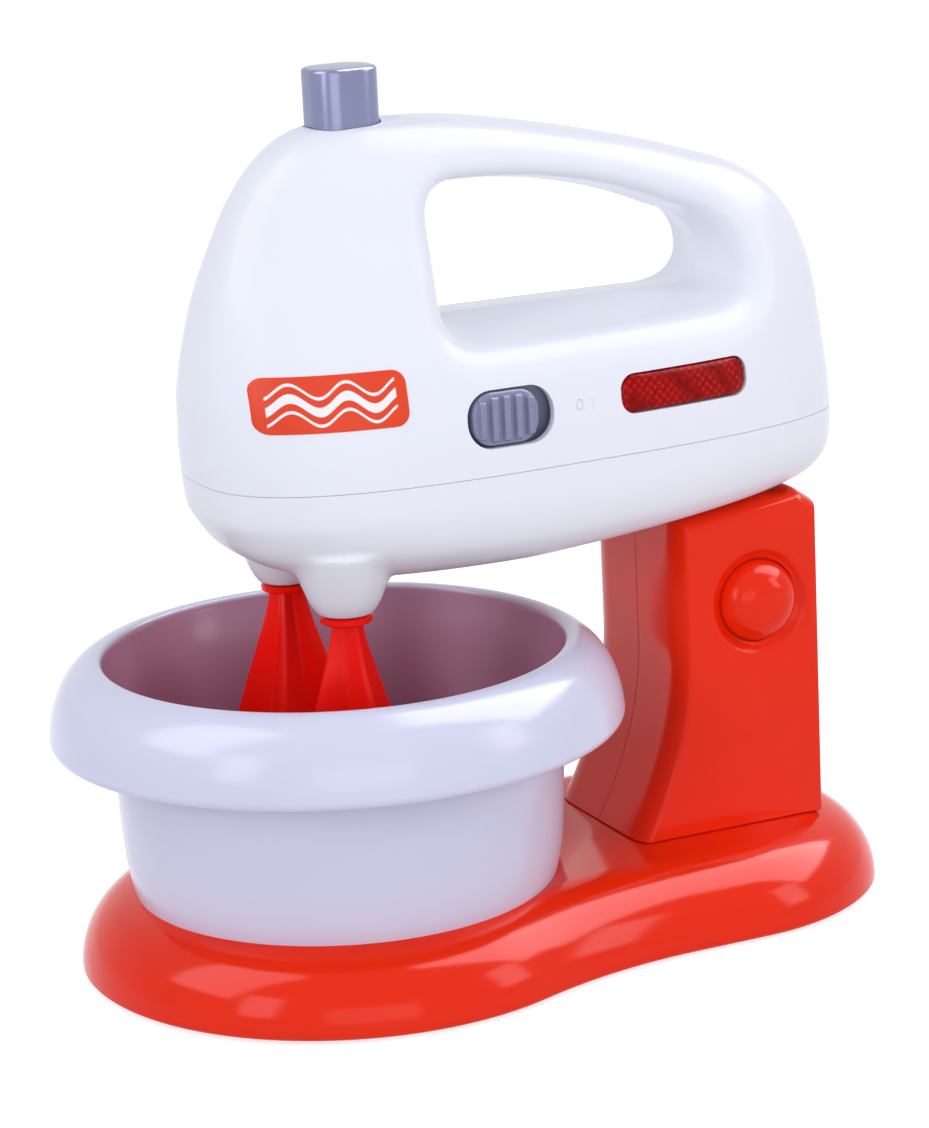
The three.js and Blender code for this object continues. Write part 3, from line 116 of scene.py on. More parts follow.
LOWER_LEVELS = np.array([
    # drop, front, rear, side, all as shares
    (0, 0, 0, 0),
    (0.3, 0.03, 0.01, 0.01),
    (0.5, 0.12, 0.05, 0.05),
    (0.68, 0.24, 0.15, 0.14),
    (0.82, 0.42, 0.3, 0.3),
    (0.92, 0.64, 0.5, 0.5),
    (0.98, 0.84, 0.75, 0.75),
    (1, 1, 1, 1),
])

# Handle opening
OPENING_FRONT = 24.5
OPENING_REAR = 103.3
OPENING_FLOOR = 155.0
OPENING_TOP_FRONT = 187.0
OPENING_TOP_REAR = 171.0
OPENING_CORNERS = (7.0, 10.0, 15.0, 7.0)
OPENING_DRAFT = 0.13
OPENING_WAIST = 0.3
OPENING_BLEND = 8.2

# Beater drive
SPINDLE_X = -3.9
SPINDLE_Y = 18.6
NOZZLE_BOTTOM = 90.0
NOZZLE_TOP = 106.0
NOZZLE_EDGE_Z = 92.2
NOZZLE_EDGE_RADIUS = 8.3
NOZZLE_END_RADIUS = 6.4
NOZZLE_SLOPE = 0.373
NOZZLE_BORE = 4.75
NOZZLE_BLEND = 1.6
NOZZLE_SOFT = 1.0
NOZZLE_END_SOFT = 0.8

# Net sizes
NET_STEP = 0.8
NEWTON_STEPS = 3
DIFFERENCE = 0.05


# ---- meshes
def metres(points):
    """Design millimetres to the frame's metres."""
    return (np.asarray(points, float) + (BOWL_AXIS_X, 0, 0)) * MM


def new_object(name, data):
    obj = bpy.data.objects.new(name, data)
    bpy.context.scene.collection.objects.link(obj)
    return obj


def solid(name, points, faces, sharp=SHARP):
    """A smooth-shaded object from design millimetres."""
    mesh = bpy.data.meshes.new(name)
    mesh.from_pydata(metres(points).tolist(), [], [list(map(int, f)) for f in faces])
    mesh.validate()
    obj = new_object(name, mesh)
    outward(mesh)
    smooth(obj, sharp)
    return obj


def outward(mesh):
    """Turns every face of a closed mesh outward."""
    edit = bmesh.new()
    edit.from_mesh(mesh)
    bmesh.ops.recalc_face_normals(edit, faces=edit.faces)
    if edit.calc_volume(signed=True) < 0:
        bmesh.ops.reverse_faces(edit, faces=edit.faces)
    edit.to_mesh(mesh)
    edit.free()


def smooth(obj, sharp=SHARP):
    """Shades smoothly, up to edges of so many degrees."""
    obj.data.shade_smooth()
    obj.data.set_sharp_from_angle(angle=math.radians(sharp))


def loft(rings):
    """Points and faces of a closed skin over rings of equal counts."""
    count = len(rings[0])
    points = np.concatenate(rings).astype(float)
    last = len(points) - count
    faces = []
    for start in range(0, last, count):
        for i in range(count):
            a, b = start + i, start + (i + 1) % count
            faces.append((a, b, b + count, a + count))
    faces += [tuple(range(count)), tuple(range(last, len(points)))]
    return points, faces


def carve(obj, tool, how="DIFFERENCE", keep=False):
    """Applies a boolean of one object with another, and removes the tool."""
    change = obj.modifiers.new("carve", "BOOLEAN")
    change.operation = how
    change.solver = "MANIFOLD"
    change.object = tool
    graph = bpy.context.evaluated_depsgraph_get()
    result = bpy.data.meshes.new_from_object(obj.evaluated_get(graph))
    obj.modifiers.clear()
    old = obj.data
    obj.data = result
    result.name = obj.name
    bpy.data.meshes.remove(old)
    if not keep:
        discard(tool)
    return obj


def discard(obj):
    mesh = obj.data
    bpy.data.objects.remove(obj)
    bpy.data.meshes.remove(mesh)


def at_height(outline, z):
    """A level ring of an outline in x and y."""
    return np.column_stack([outline, np.full(len(outline), z)])


def at_side(outline, y):
    """An upright ring of an outline in x and z, at one y or one for each point."""
    return np.insert(np.asarray(outline, float), 1, y, axis=1)


def box_object(low, high):
    (x0, y0, z0), (x1, y1, z1) = low, high
    return prism_z([(x0, y0), (x1, y0), (x1, y1), (x0, y1)], z0, z1)


def circle(radius, count):
    turn = np.linspace(0, 2 * math.pi, count, endpoint=False)
    return radius * np.cos(turn), radius * np.sin(turn)


def rod(axis, centre, radii, stations, count=48, name="cutter"):
    """A turned solid: radii at stations along y or z."""
    ring = at_height if axis == "z" else at_side
    outlines = [np.column_stack(circle(radius, count)) + centre for radius in radii]
    return solid(name, *loft([ring(o, at) for o, at in zip(outlines, stations)]))


def drill(obj, axis, centre, radius, start, end, count=48):
    """Cuts a round hole along y or z."""
    carve(obj, rod(axis, centre, (radius,) * 2, (start, end), count))


def prism_y(outline, near, far):
    return solid("cutter", *loft([at_side(outline, y) for y in (near, far)]))


def prism_z(outline, low, high):
    return solid("cutter", *loft([at_height(outline, z) for z in (low, high)]))


def oblong(x, z, length, depth, corner, steps=10):
    """The outline of a rounded rectangle."""
    points = []
    for k, (sx, sz) in enumerate(((1, 1), (-1, 1), (-1, -1), (1, -1))):
        cx = x + sx * (length / 2 - corner)
        cz = z + sz * (depth / 2 - corner)
        for i in range(steps + 1):
            turn = math.pi / 2 * (k + i / steps)
            points.append((cx + corner * math.cos(turn), cz + corner * math.sin(turn)))
    return np.array(points)


def bezier(p0, p1, p2, steps):
    t = np.linspace(0, 1, steps, endpoint=False)[:, None]
    p0, p1, p2 = (np.array(p, float) for p in (p0, p1, p2))
    return p0 * (1 - t) ** 2 + 2 * p1 * t * (1 - t) + p2 * t ** 2


# ---- smooth tables
def monotone(xs, ys, at):
    """Monotone cubic interpolation of a table."""
    step = np.diff(xs)
    slope = np.diff(ys) / step
    tangent = np.zeros(len(xs))
    tangent[0], tangent[-1] = slope[0], slope[-1]
    for i in range(1, len(xs) - 1):
        if slope[i - 1] * slope[i] > 0:
            w1 = 2 * step[i] + step[i - 1]
            w2 = step[i] + 2 * step[i - 1]
            tangent[i] = (w1 + w2) / (w1 / slope[i - 1] + w2 / slope[i])
    k = np.clip(np.searchsorted(xs, at, side="right") - 1, 0, len(step) - 1)
    t = (at - xs[k]) / step[k]
    return (
        ys[k] * (1 + 2 * t) * (1 - t) ** 2
        + step[k] * tangent[k] * t * (1 - t) ** 2
        + ys[k + 1] * t ** 2 * (3 - 2 * t)
        + step[k] * tangent[k + 1] * t ** 2 * (t - 1)
    )


DENSE = np.linspace(0, 1, 2001)
UPPER, LOWER = (
    [monotone(levels[:, 0], levels[:, k], DENSE) for k in (1, 2, 3)]
    for levels in (UPPER_LEVELS, LOWER_LEVELS)
)


def smooth_max(a, b, blend):
    mix = np.clip(blend - np.abs(a - b), 0, None) / blend
    return np.maximum(a, b) + mix ** 2 * blend / 4


def smooth_min(a, b, blend):
    return -smooth_max(-a, -b, blend)


# ---- head form
def underside(x):
    along = np.clip((x - RISE_START) / RISE_LENGTH, 0, None)
    return UNDERSIDE_Z + UNDERSIDE_RISE * along ** 1.3


def head_outline(x, z):
    """Middle, half-length, half-width and power of the head's level outline through a place."""
    rise = np.clip((z - SEAM_Z) / (HEAD_TOP - SEAM_Z), 0, 1)
    drop = np.clip((SEAM_Z - z) / (SEAM_Z - underside(x)), 0, 1)
    up = [np.interp(rise, DENSE, table) for table in UPPER]
    down = [np.interp(drop, DENSE, table) for table in LOWER]
    front = HEAD_NOSE + HEAD_LENGTH * up[0] + NOSE_ROUND * down[0]
    rear = HEAD_REAR - HEAD_LENGTH * up[1] - REAR_ROUND * down[1]
    half = (HEAD_HALF * up[2] - SIDE_ROUND * down[2]) * (1 - HEAD_TAPER * (x - TAPER_START))
    middle = (front + rear) / 2
    powers = [low + (high - low) * rise for low, high in (FRONT_POWERS, REAR_POWERS)]
    return middle, (rear - front) / 2, half, np.where(x < middle, *powers)


def head_level(x, y, z):
    """1 on the head's level outline, less inside it."""
    middle, reach, half, power = head_outline(x, z)
    return ((np.abs(x - middle) / reach) ** power + (np.abs(y) / half) ** power) ** (1 / power)


def head_side(x, z):
    """Half-width of the head at a place on its side."""
    middle, reach, half, power = head_outline(x, z)
    return half * (1 - np.clip(np.abs(x - middle) / reach, 0, 1) ** power) ** (1 / power)


def slopes(field, value, x, y, z):
    """A field's slopes along x, y and z, from its value at the place."""
    beside = (x + DIFFERENCE, y, z), (x, y + DIFFERENCE, z), (x, y, z + DIFFERENCE)
    return [(field(*place) - value) / DIFFERENCE for place in beside]


def body_field(x, y, z):
    """About the distance to the head's skin, without its opening."""
    level = head_level(x, y, z)
    steepness = np.sqrt(sum(s ** 2 for s in slopes(head_level, level, x, np.abs(y), z)))
    field = (level - 1) / np.clip(steepness, 1e-3, None)
    field = smooth_max(field, z - HEAD_TOP, TOP_BLEND)
    return smooth_max(field, underside(x) - z, UNDERSIDE_BLEND)


def opening_outline(steps=24):
    """The handle opening, from knots and the bend of the leg that follows each."""
    low_front, low_rear, high_rear, high_front = OPENING_CORNERS
    left, right, floor = OPENING_FRONT, OPENING_REAR, OPENING_FLOOR
    top, top_rear = OPENING_TOP_FRONT, OPENING_TOP_REAR
    knots = [
        ((left + low_front, floor), None),
        ((right - low_rear, floor), (right, floor)),
        ((right, floor + low_rear / 2), (right, top_rear)),
        ((right - high_rear, top_rear + high_rear * 0.3), ((left + right) / 2, top)),
        ((left + high_front, top), (left, top)),
        ((left, top - high_front), None),
        ((left, floor + low_front), (left, floor)),
    ]
    legs = []
    for (start, bend), (end, _) in zip(knots, knots[1:] + knots[:1]):
        if bend:
            legs.append(bezier(start, bend, end, steps))
        else:
            legs.append(np.linspace(start, end, steps, endpoint=False))
    return np.concatenate(legs)


def distance_to(outline, margin=60.0, step=0.5):
    """A function of x and z: the signed distance to a closed outline, read from a table."""
    low = outline.min(0) - margin
    counts = np.ceil((outline.max(0) + margin - low) / step).astype(int) + 1
    gx, gz = np.meshgrid(*(low[k] + step * np.arange(counts[k]) for k in (0, 1)), indexing="ij")
    nearest = np.full(gx.shape, np.inf)
    inside = np.zeros(gx.shape, bool)
    for p, q in zip(outline, np.roll(outline, -1, axis=0)):
        along = q - p
        u, v = gx - p[0], gz - p[1]
        t = np.clip((u * along[0] + v * along[1]) / max(along @ along, 1e-12), 0, 1)
        nearest = np.minimum(nearest, (u - t * along[0]) ** 2 + (v - t * along[1]) ** 2)
        if p[1] != q[1]:
            crosses = (p[1] > gz) != (q[1] > gz)
            inside ^= crosses & (gx < p[0] + v * along[0] / along[1])
    table = np.where(inside, -1, 1) * np.sqrt(nearest)

    def distance(x, z):
        u = np.clip((x - low[0]) / step, 0, table.shape[0] - 1.001)
        v = np.clip((z - low[1]) / step, 0, table.shape[1] - 1.001)
        i, j = u.astype(int), v.astype(int)
        s, t = u - i, v - j
        return (
            table[i, j] * (1 - s) * (1 - t) + table[i + 1, j] * s * (1 - t)
            + table[i, j + 1] * (1 - s) * t + table[i + 1, j + 1] * s * t
        )

    return distance


opening_distance = distance_to(opening_outline())


def nozzle_field(x, y, z):
    """About the distance to the two nozzles' skin."""
    radius = np.hypot(x - SPINDLE_X, np.abs(y) - SPINDLE_Y)
    edge_slope = (NOZZLE_EDGE_RADIUS - NOZZLE_END_RADIUS) / (NOZZLE_EDGE_Z - NOZZLE_BOTTOM)
    side = (radius - NOZZLE_EDGE_RADIUS - NOZZLE_SLOPE * (z - NOZZLE_EDGE_Z)) / math.hypot(1, NOZZLE_SLOPE)
    edge = (radius - NOZZLE_END_RADIUS - edge_slope * (z - NOZZLE_BOTTOM)) / math.hypot(1, edge_slope)
    low = smooth_max(smooth_max(side, edge, NOZZLE_SOFT), NOZZLE_BOTTOM - z, NOZZLE_END_SOFT)
    return smooth_max(low, z - NOZZLE_TOP, NOZZLE_SOFT)


def head_field(x, y, z):
    """About the distance to the whole head's skin: body, nozzles and handle opening."""
    field = body_field(x, y, z)
    field = smooth_min(field, nozzle_field(x, y, z), NOZZLE_BLEND)
    spread = OPENING_DRAFT * np.sqrt(y ** 2 + OPENING_WAIST)
    return smooth_max(field, spread - opening_distance(x, z), OPENING_BLEND)


# ---- surface nets
CORNERS = np.array([(i, j, k) for i in (0, 1) for j in (0, 1) for k in (0, 1)])
EDGES = [(a, b) for a in range(8) for b in range(a + 1, 8) if abs(CORNERS[a] - CORNERS[b]).sum() == 1]


def surface_net(field, low, step, level):
    """Points and quads of the surface where a sampled field crosses a level."""
    values = field - level
    inside = values < 0
    shape = np.array(values.shape) - 1
    count = np.zeros(shape, np.int8)
    for i, j, k in CORNERS:
        count += inside[i:i + shape[0], j:j + shape[1], k:k + shape[2]]
    cells = np.argwhere((count > 0) & (count < 8))
    number = np.full(shape, -1, np.int64)
    number[tuple(cells.T)] = np.arange(len(cells))
    corner = [values[tuple((cells + c).T)] for c in CORNERS]
    total = np.zeros((len(cells), 3))
    hits = np.zeros(len(cells))
    for a, b in EDGES:
        va, vb = corner[a], corner[b]
        crossing = (va < 0) != (vb < 0)
        t = np.where(crossing, va / np.where(crossing, va - vb, 1), 0)
        spot = CORNERS[a] + t[:, None] * (CORNERS[b] - CORNERS[a])
        total += spot * crossing[:, None]
        hits += crossing
    points = low + step * (cells + total / hits[:, None])
    faces = []
    for axis in range(3):
        spots = np.argwhere(np.diff(inside, axis=axis))
        across = [k for k in range(3) if k != axis]
        within = [(spots[:, k] > 0) & (spots[:, k] < shape[k]) for k in across]
        spots = spots[within[0] & within[1]]
        quad = []
        for shift in ((1, 1), (0, 1), (0, 0), (1, 0)):
            at = spots.copy()
            at[:, across] -= shift
            quad.append(number[tuple(at.T)])
        faces.append(np.stack(quad, 1))
    return points, np.concatenate(faces)


def settle(points):
    """Moves points onto the head's skin by Newton's steps."""
    for _ in range(NEWTON_STEPS):
        value = head_field(*points.T)
        slope = np.stack(slopes(head_field, value, *points.T), 1)
        squared = np.clip((slope ** 2).sum(1), 0.2, None)
        move = -slope * (value / squared)[:, None]
        points = points + np.clip(move, -NET_STEP / 2, NET_STEP / 2)
    return points


def head_solids():
    """The head's outer skin, and the hollow inside its wall, as two closed objects."""
    low = np.array([HEAD_NOSE - 4, -HEAD_HALF - 4, NOZZLE_BOTTOM - 4.0])
    high = np.array([HEAD_REAR + 4, HEAD_HALF + 4, HEAD_TOP + 4])
    axes = [np.arange(a, b, NET_STEP) for a, b in zip(low, high)]
    grid = np.empty([len(a) for a in axes], np.float32)
    y, z = np.meshgrid(axes[1], axes[2], indexing="ij")
    for i, x in enumerate(axes[0]):
        grid[i] = head_field(np.full(y.shape, x), y, z)
    skin, skin_faces = surface_net(grid, low, NET_STEP, 0.0)
    outer = solid("outer", settle(skin), skin_faces, 180)
    hollow, hollow_faces = surface_net(grid[::2, ::2, ::2], low, 2 * NET_STEP, -WALL)
    inner = solid("inner", hollow, hollow_faces, 180)
    return outer, inner


def copy_of(obj, name):
    return new_object(name, obj.data.copy())


# ---- materials
def srgb(r, g, b):
    """A linear colour from sRGB values of 0 to 255."""
    shares = (r / 255, g / 255, b / 255)
    return (*(c / 12.92 if c <= 0.04045 else ((c + 0.055) / 1.055) ** 2.4 for c in shares), 1.0)


def shade(colour, share):
    return tuple(c * share for c in colour[:3]) + (1.0,)


def feed(tree, socket, value):
    """Gives a socket a value, or the output of another node."""
    if isinstance(value, bpy.types.NodeSocket):
        tree.links.new(value, socket)
    elif value is not None:
        socket.default_value = value


def add_node(tree, kind, inputs, **settings):
    """A node with its settings, and its inputs fed by name or number."""
    made = tree.nodes.new("ShaderNode" + kind)
    for key, value in settings.items():
        setattr(made, key, value)
    for key, value in inputs.items():
        feed(tree, made.inputs[key], value)
    return made


class Surface:
    """A procedural material under construction."""

    def __init__(self, name):
        self.material = bpy.data.materials.new(name)
        self.material.use_nodes = True
        self.tree = self.material.node_tree
        self.shader = self.tree.nodes["Principled BSDF"]
        self.place = self.node("TexCoord").outputs["Object"]

    def node(self, kind, inputs=None, **settings):
        return add_node(self.tree, kind, inputs or {}, **settings)

    def apply(self, inputs):
        """Feeds the shader's own inputs by name."""
        for key, value in inputs.items():
            feed(self.tree, self.shader.inputs[key], value)

    def noise(self, scale, detail=2.0):
        inputs = {"Vector": self.place, "Scale": scale, "Detail": detail}
        return self.node("TexNoise", inputs).outputs["Fac"]

    def remap(self, value, low, high, to_low, to_high):
        inputs = {"Value": value, "From Min": low, "From Max": high, "To Min": to_low, "To Max": to_high}
        return self.node("MapRange", inputs).outputs["Result"]

    def math(self, how, a, b=None):
        return self.node("Math", {0: a, 1: b}, operation=how).outputs["Value"]

    def times(self, a, b):
        return self.math("MULTIPLY", a, b)

    def split(self, vector):
        return self.node("SeparateXYZ", {"Vector": vector}).outputs

    def blend(self, factor, first, second):
        inputs = {"Factor": factor, 6: first, 7: second}
        return self.node("Mix", inputs, data_type="RGBA").outputs[2]

    def bump(self, height, distance, strength, before=None):
        inputs = {"Strength": strength, "Distance": distance, "Height": height, "Normal": before}
        self.apply({"Normal": self.node("Bump", inputs).outputs["Normal"]})


CLEAR_TINT = (1.0, 1.0, 1.0, 1.0)
WARM_TINT = (1.0, 0.82, 0.86, 1.0)
GRAIN = 0.004
GRAIN_NOISE = 1500
BUMP_STRENGTH = 0.4

# Where the painted shade inside the bowl ends: height, radius, and radius of its floor
SHADE_TOP = (76.2 * MM, 77.2 * MM)
SHADE_EDGE = (57.4 * MM, 58.0 * MM)
SHADE_FLOOR_EDGE = 49 * MM


def plastic(
    name, colour, roughness, shift, specular=0.5, edge=0.35, grain=GRAIN, metallic=0.0, tint=CLEAR_TINT
):
    """Moulded plastic: faint flow marks in colour and gloss, a fine grain and softened edges."""
    s = Surface(name)
    flow = s.remap(s.noise(38, 3), 0.35, 0.65, 0, 1)
    s.apply({
        "Base Color": s.blend(flow, colour, shade(colour, 1 - shift)),
        "Roughness": s.remap(s.noise(120, 3), 0.3, 0.7, roughness * 0.93, roughness * 1.08),
        "Specular IOR Level": specular,
        "Specular Tint": tint,
        "Metallic": metallic,
        "IOR": 1.5,
    })
    before = None
    if edge:
        before = s.node("Bevel", {"Radius": edge * MM}, samples=4).outputs["Normal"]
    s.bump(s.noise(GRAIN_NOISE), grain * MM, BUMP_STRENGTH, before)
    return s.material


def metal(name, colour, roughness):
    """Turned metal: a fine scatter in colour and gloss."""
    s = Surface(name)
    s.apply({
        "Base Color": s.blend(s.noise(500, 4), colour, shade(colour, 0.8)),
        "Metallic": 1.0,
        "Roughness": s.remap(s.noise(900, 3), 0.3, 0.7, roughness * 0.8, roughness * 1.3),
    })
    s.bump(s.noise(3000), 0.01 * MM, BUMP_STRENGTH)
    return s.material


def bowl_plastic_painted_shade():
    """White outside, with a mauve-grey painted shade and painted red reflection on the inside."""
    s = Surface("bowl_plastic_painted_shade")
    place = s.split(s.place)
    turn = s.split(s.node("NewGeometry").outputs["Normal"])
    x, y = s.math("SUBTRACT", place["X"], BOWL_AXIS_X * MM), place["Y"]
    radius = s.math("SQRT", s.math("ADD", s.times(x, x), s.times(y, y)))
    outward_share = s.math("ADD", s.times(turn["X"], x), s.times(turn["Y"], y))
    facing_in = s.math("LESS_THAN", outward_share, 0.0)
    below = s.remap(place["Z"], *SHADE_TOP, 1, 0)
    within = s.remap(radius, *SHADE_EDGE, 1, 0)
    floor = s.times(s.math("LESS_THAN", radius, SHADE_FLOOR_EDGE), s.math("GREATER_THAN", turn["Z"], 0.3))
    # The inner wall and floor get painted shade: the shadow under the head and the red beaters' reflection
    inside = s.times(s.math("MAXIMUM", facing_in, floor), s.times(below, within))
    # Mauve-grey painted shade and painted reflection, on white plastic
    inner = s.blend(s.noise(30), srgb(192, 146, 168), srgb(184, 136, 160))
    outer = s.blend(s.noise(38, 3), srgb(219, 219, 238), srgb(215, 215, 235))
    s.apply({
        "Base Color": s.blend(inside, outer, inner),
        "Roughness": s.remap(s.noise(120, 3), 0.3, 0.7, 0.16, 0.2),
        "Specular IOR Level": 0.25,
    })
    s.bump(s.noise(GRAIN_NOISE), GRAIN * MM, BUMP_STRENGTH)
    return s.material


def lens_plastic():
    """Dark clear red over a sparkling diamond grain."""
    s = Surface("lens_plastic")
    turn = s.node("Mapping", {"Vector": s.place, "Rotation": (0, math.radians(45), 0)})
    inputs = {"Vector": turn.outputs["Vector"], "Scale": 620.0, "Randomness": 0.15}
    cells = s.node("TexVoronoi", inputs, distance="CHEBYCHEV").outputs["Distance"]
    glints = s.remap(cells, 0.1, 0.5, 1, 0)
    s.apply({
        "Base Color": s.blend(glints, srgb(128, 0, 2), srgb(206, 22, 16)),
        "Roughness": 0.2,
        "Specular IOR Level": 0.1,
    })
    s.bump(cells, 0.1 * MM, 0.5)
    return s.material


LABEL_X = -9.0
LABEL_Z = 143.2
LABEL_LENGTH = 34.0
LABEL_DEPTH = 13.0
WAVE_HALF_LENGTH = 6.2
WAVE_HEIGHT = 1.7
WAVE_PITCH = 3.1


def label_print():
    """A plain design: three white waves on orange-red."""
    s = Surface("label_print")
    place = s.split(s.place)
    along = s.math("SUBTRACT", place["X"], (LABEL_X + BOWL_AXIS_X) * MM)
    up = s.math("SUBTRACT", place["Z"], LABEL_Z * MM)
    wave = s.times(s.math("SINE", s.times(along, math.pi / (WAVE_HALF_LENGTH * MM))), WAVE_HEIGHT * MM)
    off = s.math("ABSOLUTE", s.math("SUBTRACT", up, wave))
    stripe = s.remap(off, 1.0 * MM, 1.15 * MM, 1, 0)
    beside = s.math("ABSOLUTE", s.math("SUBTRACT", off, WAVE_PITCH * MM))
    second = s.remap(beside, 0.3 * MM, 0.42 * MM, 1, 0)
    inside_x = s.remap(s.math("ABSOLUTE", along), 14.2 * MM, 14.4 * MM, 1, 0)
    ink = s.times(s.math("MAXIMUM", stripe, second), inside_x)
    ground = s.blend(s.noise(200), srgb(236, 72, 30), srgb(230, 62, 26))
    s.apply({
        "Base Color": s.blend(ink, ground, srgb(250, 246, 244)),
        "Roughness": 0.38,
        "Specular IOR Level": 0.25,
    })
    s.bump(s.noise(4000), 0.006 * MM, BUMP_STRENGTH)
    return s.material


WHITE = plastic("white_plastic", srgb(242, 243, 249), 0.24, 0.008, specular=0.08, edge=0.0)
RED = plastic("red_plastic", srgb(242, 44, 10), 0.13, 0.04, specular=0.17, tint=WARM_TINT)
BEATER_RED = plastic("beater_red", srgb(255, 20, 6), 0.24, 0.03, specular=0.15, edge=0.0, tint=WARM_TINT)
GREY = plastic("grey_plastic", srgb(134, 138, 172), 0.22, 0.04, metallic=0.3)
SLIDER = plastic("slider_plastic", srgb(134, 136, 166), 0.28, 0.04)
SLATE = plastic("slate_plastic", srgb(122, 124, 150), 0.34, 0.04)
NATURAL = plastic("natural_plastic", srgb(238, 232, 214), 0.45, 0.03)
BLACK = plastic("black_plastic", srgb(40, 40, 44), 0.5, 0.1)
RUBBER = plastic("rubber", srgb(50, 50, 56), 0.8, 0.15, grain=0.05)
SLEEVE = plastic("cell_sleeve", srgb(60, 108, 140), 0.35, 0.05)
BOARD = plastic("board", srgb(44, 108, 72), 0.5, 0.08)
STEEL = metal("steel", srgb(188, 190, 196), 0.32)
BRASS = metal("brass", srgb(204, 172, 96), 0.3)
BOWL = bowl_plastic_painted_shade()
LENS = lens_plastic()
LABEL = label_print()


def dress(obj, material, body, slot, *nodes):
    """Gives a new piece its material and body, and hides the CAD nodes that it stands for. The slot is not
    used.
    """
    obj.data.materials.clear()
    obj.data.materials.append(material)
    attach(obj, body)
    if nodes:
        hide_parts(*nodes)


# ---- head pieces
DOOR_REAR = 72.9
SEAM_GAP = 0.14
SWITCH_X = 33.3
SWITCH_Z = 135.4
SLOT_LENGTH = 22.6
SLOT_DEPTH = 13.7
WORD_X = 53.6
WORD_Z = 135.9
LENS_X = 81.2
LENS_Z = 136.4
LENS_LENGTH = 36.5
LENS_DEPTH = 9.6
BUTTON_X = 9.7
BUTTON_LENGTH = 16.8
BUTTON_DEPTH = 15.4
BUTTON_CORNER = 6.0
BUTTON_TOP = 216.5
FLANGE_TOP = 192.5
LIP_THICKNESS = 1.4
SCREW_HOLE = 3.2
FAR = 60.0

# Cuts through the lower shell, which all start under it
UNDER = 80
BORE_TOP = 108
SCREW_TOP = 110
DOOR_TOP = 112
BRACKET_LOW = (99.0, -4.8)
BRACKET_HIGH = (121.2, 4.8)


def design_box(node):
    """A CAD node's lowest and highest corners in design millimetres."""
    return [np.array(corner) / MM - (BOWL_AXIS_X, 0, 0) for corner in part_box(node)]


def middle_of(node):
    return sum(design_box(node)) / 2


def button_outline(grown, steps=14):
    length, depth = BUTTON_LENGTH + 2 * grown, BUTTON_DEPTH + 2 * grown
    return oblong(BUTTON_X, 0, length, depth, BUTTON_CORNER + grown, steps)


def slot_outline():
    return oblong(SWITCH_X, SWITCH_Z, SLOT_LENGTH, SLOT_DEPTH, SLOT_DEPTH * 0.46, 14)


def lens_outline(inset):
    length, depth = LENS_LENGTH - 2 * inset, LENS_DEPTH - 2 * inset
    return oblong(LENS_X, LENS_Z, length, depth, LENS_DEPTH * 0.4 - inset, 12)


def plan_outline(front, rear, half, count=160):
    """The head's level outline at the seam, as points in x and y."""
    turn = np.linspace(0, 2 * math.pi, count, endpoint=False)
    middle = (front + rear) / 2
    power = 2 / np.where(np.cos(turn) < 0, FRONT_POWERS[0], REAR_POWERS[0])
    x = middle + np.sign(np.cos(turn)) * (rear - front) / 2 * np.abs(np.cos(turn)) ** power
    y = np.sign(np.sin(turn)) * half * np.abs(np.sin(turn)) ** power * (1 - HEAD_TAPER * (x - TAPER_START))
    return np.column_stack([x, y])


def lip():
    """The ring inside the lower shell that guides the upper one."""
    def wall(inset, low, high):
        front = HEAD_NOSE + UPPER_LEVELS[0, 1] * HEAD_LENGTH + inset
        rear = HEAD_REAR - UPPER_LEVELS[0, 2] * HEAD_LENGTH - inset
        return prism_z(plan_outline(front, rear, HEAD_HALF - inset), SEAM_Z + low, SEAM_Z + high)

    ring = wall(WALL + GAP, -5, 2.5)
    return carve(ring, wall(WALL + GAP + LIP_THICKNESS, -9, 5))


def make_head():
    outer, inner = head_solids()
    upper = copy_of(outer, "head_upper")
    carve(upper, box_object((-FAR, -FAR, SEAM_Z + SEAM_GAP), (3 * FAR, FAR, 4 * FAR)), "INTERSECT")
    carve(upper, inner, keep=True)
    carve(upper, prism_z(button_outline(0.5, 10), 180, 220))
    for opening in (slot_outline(), lens_outline(0)):
        carve(upper, prism_y(opening, -FAR, 0))
    smooth(upper)
    dress(upper, WHITE, "head", "white_plastic", "upper_shell")

    lower = copy_of(outer, "head_lower")
    carve(lower, box_object((-FAR, -FAR, 0), (3 * FAR, FAR, SEAM_Z)), "INTERSECT")
    carve(lower, inner)
    carve(lower, lip(), "UNION")
    for side in (-1, 1):
        drill(lower, "z", (SPINDLE_X, side * SPINDLE_Y), NOZZLE_BORE, UNDER, BORE_TOP)
    carve(lower, box_object((*BRACKET_LOW, UNDER), (*BRACKET_HIGH, SEAM_Z - 6)))
    for k in range(1, 5):
        drill(lower, "z", middle_of(f"head_screw_{k}")[:2], SCREW_HOLE, UNDER, SCREW_TOP)
    low, high = design_box("battery_door")
    half = high[1] + GAP
    front, rear = low[0] - GAP, DOOR_REAR
    door = oblong((front + rear) / 2, 0, rear - front, 2 * half, 1.5)
    carve(lower, prism_z(door, UNDER, DOOR_TOP))
    ear = middle_of("door_screw")
    drill(lower, "z", ear[:2], high[0] - ear[0] + GAP, UNDER, DOOR_TOP)
    smooth(lower)
    dress(lower, WHITE, "head", "white_plastic", "lower_shell")
    discard(outer)


def even(outline, count):
    """A closed outline with its points an equal way apart."""
    closed = np.vstack([outline, outline[:1]])
    way = np.concatenate([[0], np.cumsum(np.linalg.norm(np.diff(closed, axis=0), axis=1))])
    at = np.linspace(0, way[-1], count, endpoint=False)
    return np.column_stack([np.interp(at, way, closed[:, k]) for k in (0, 1)])


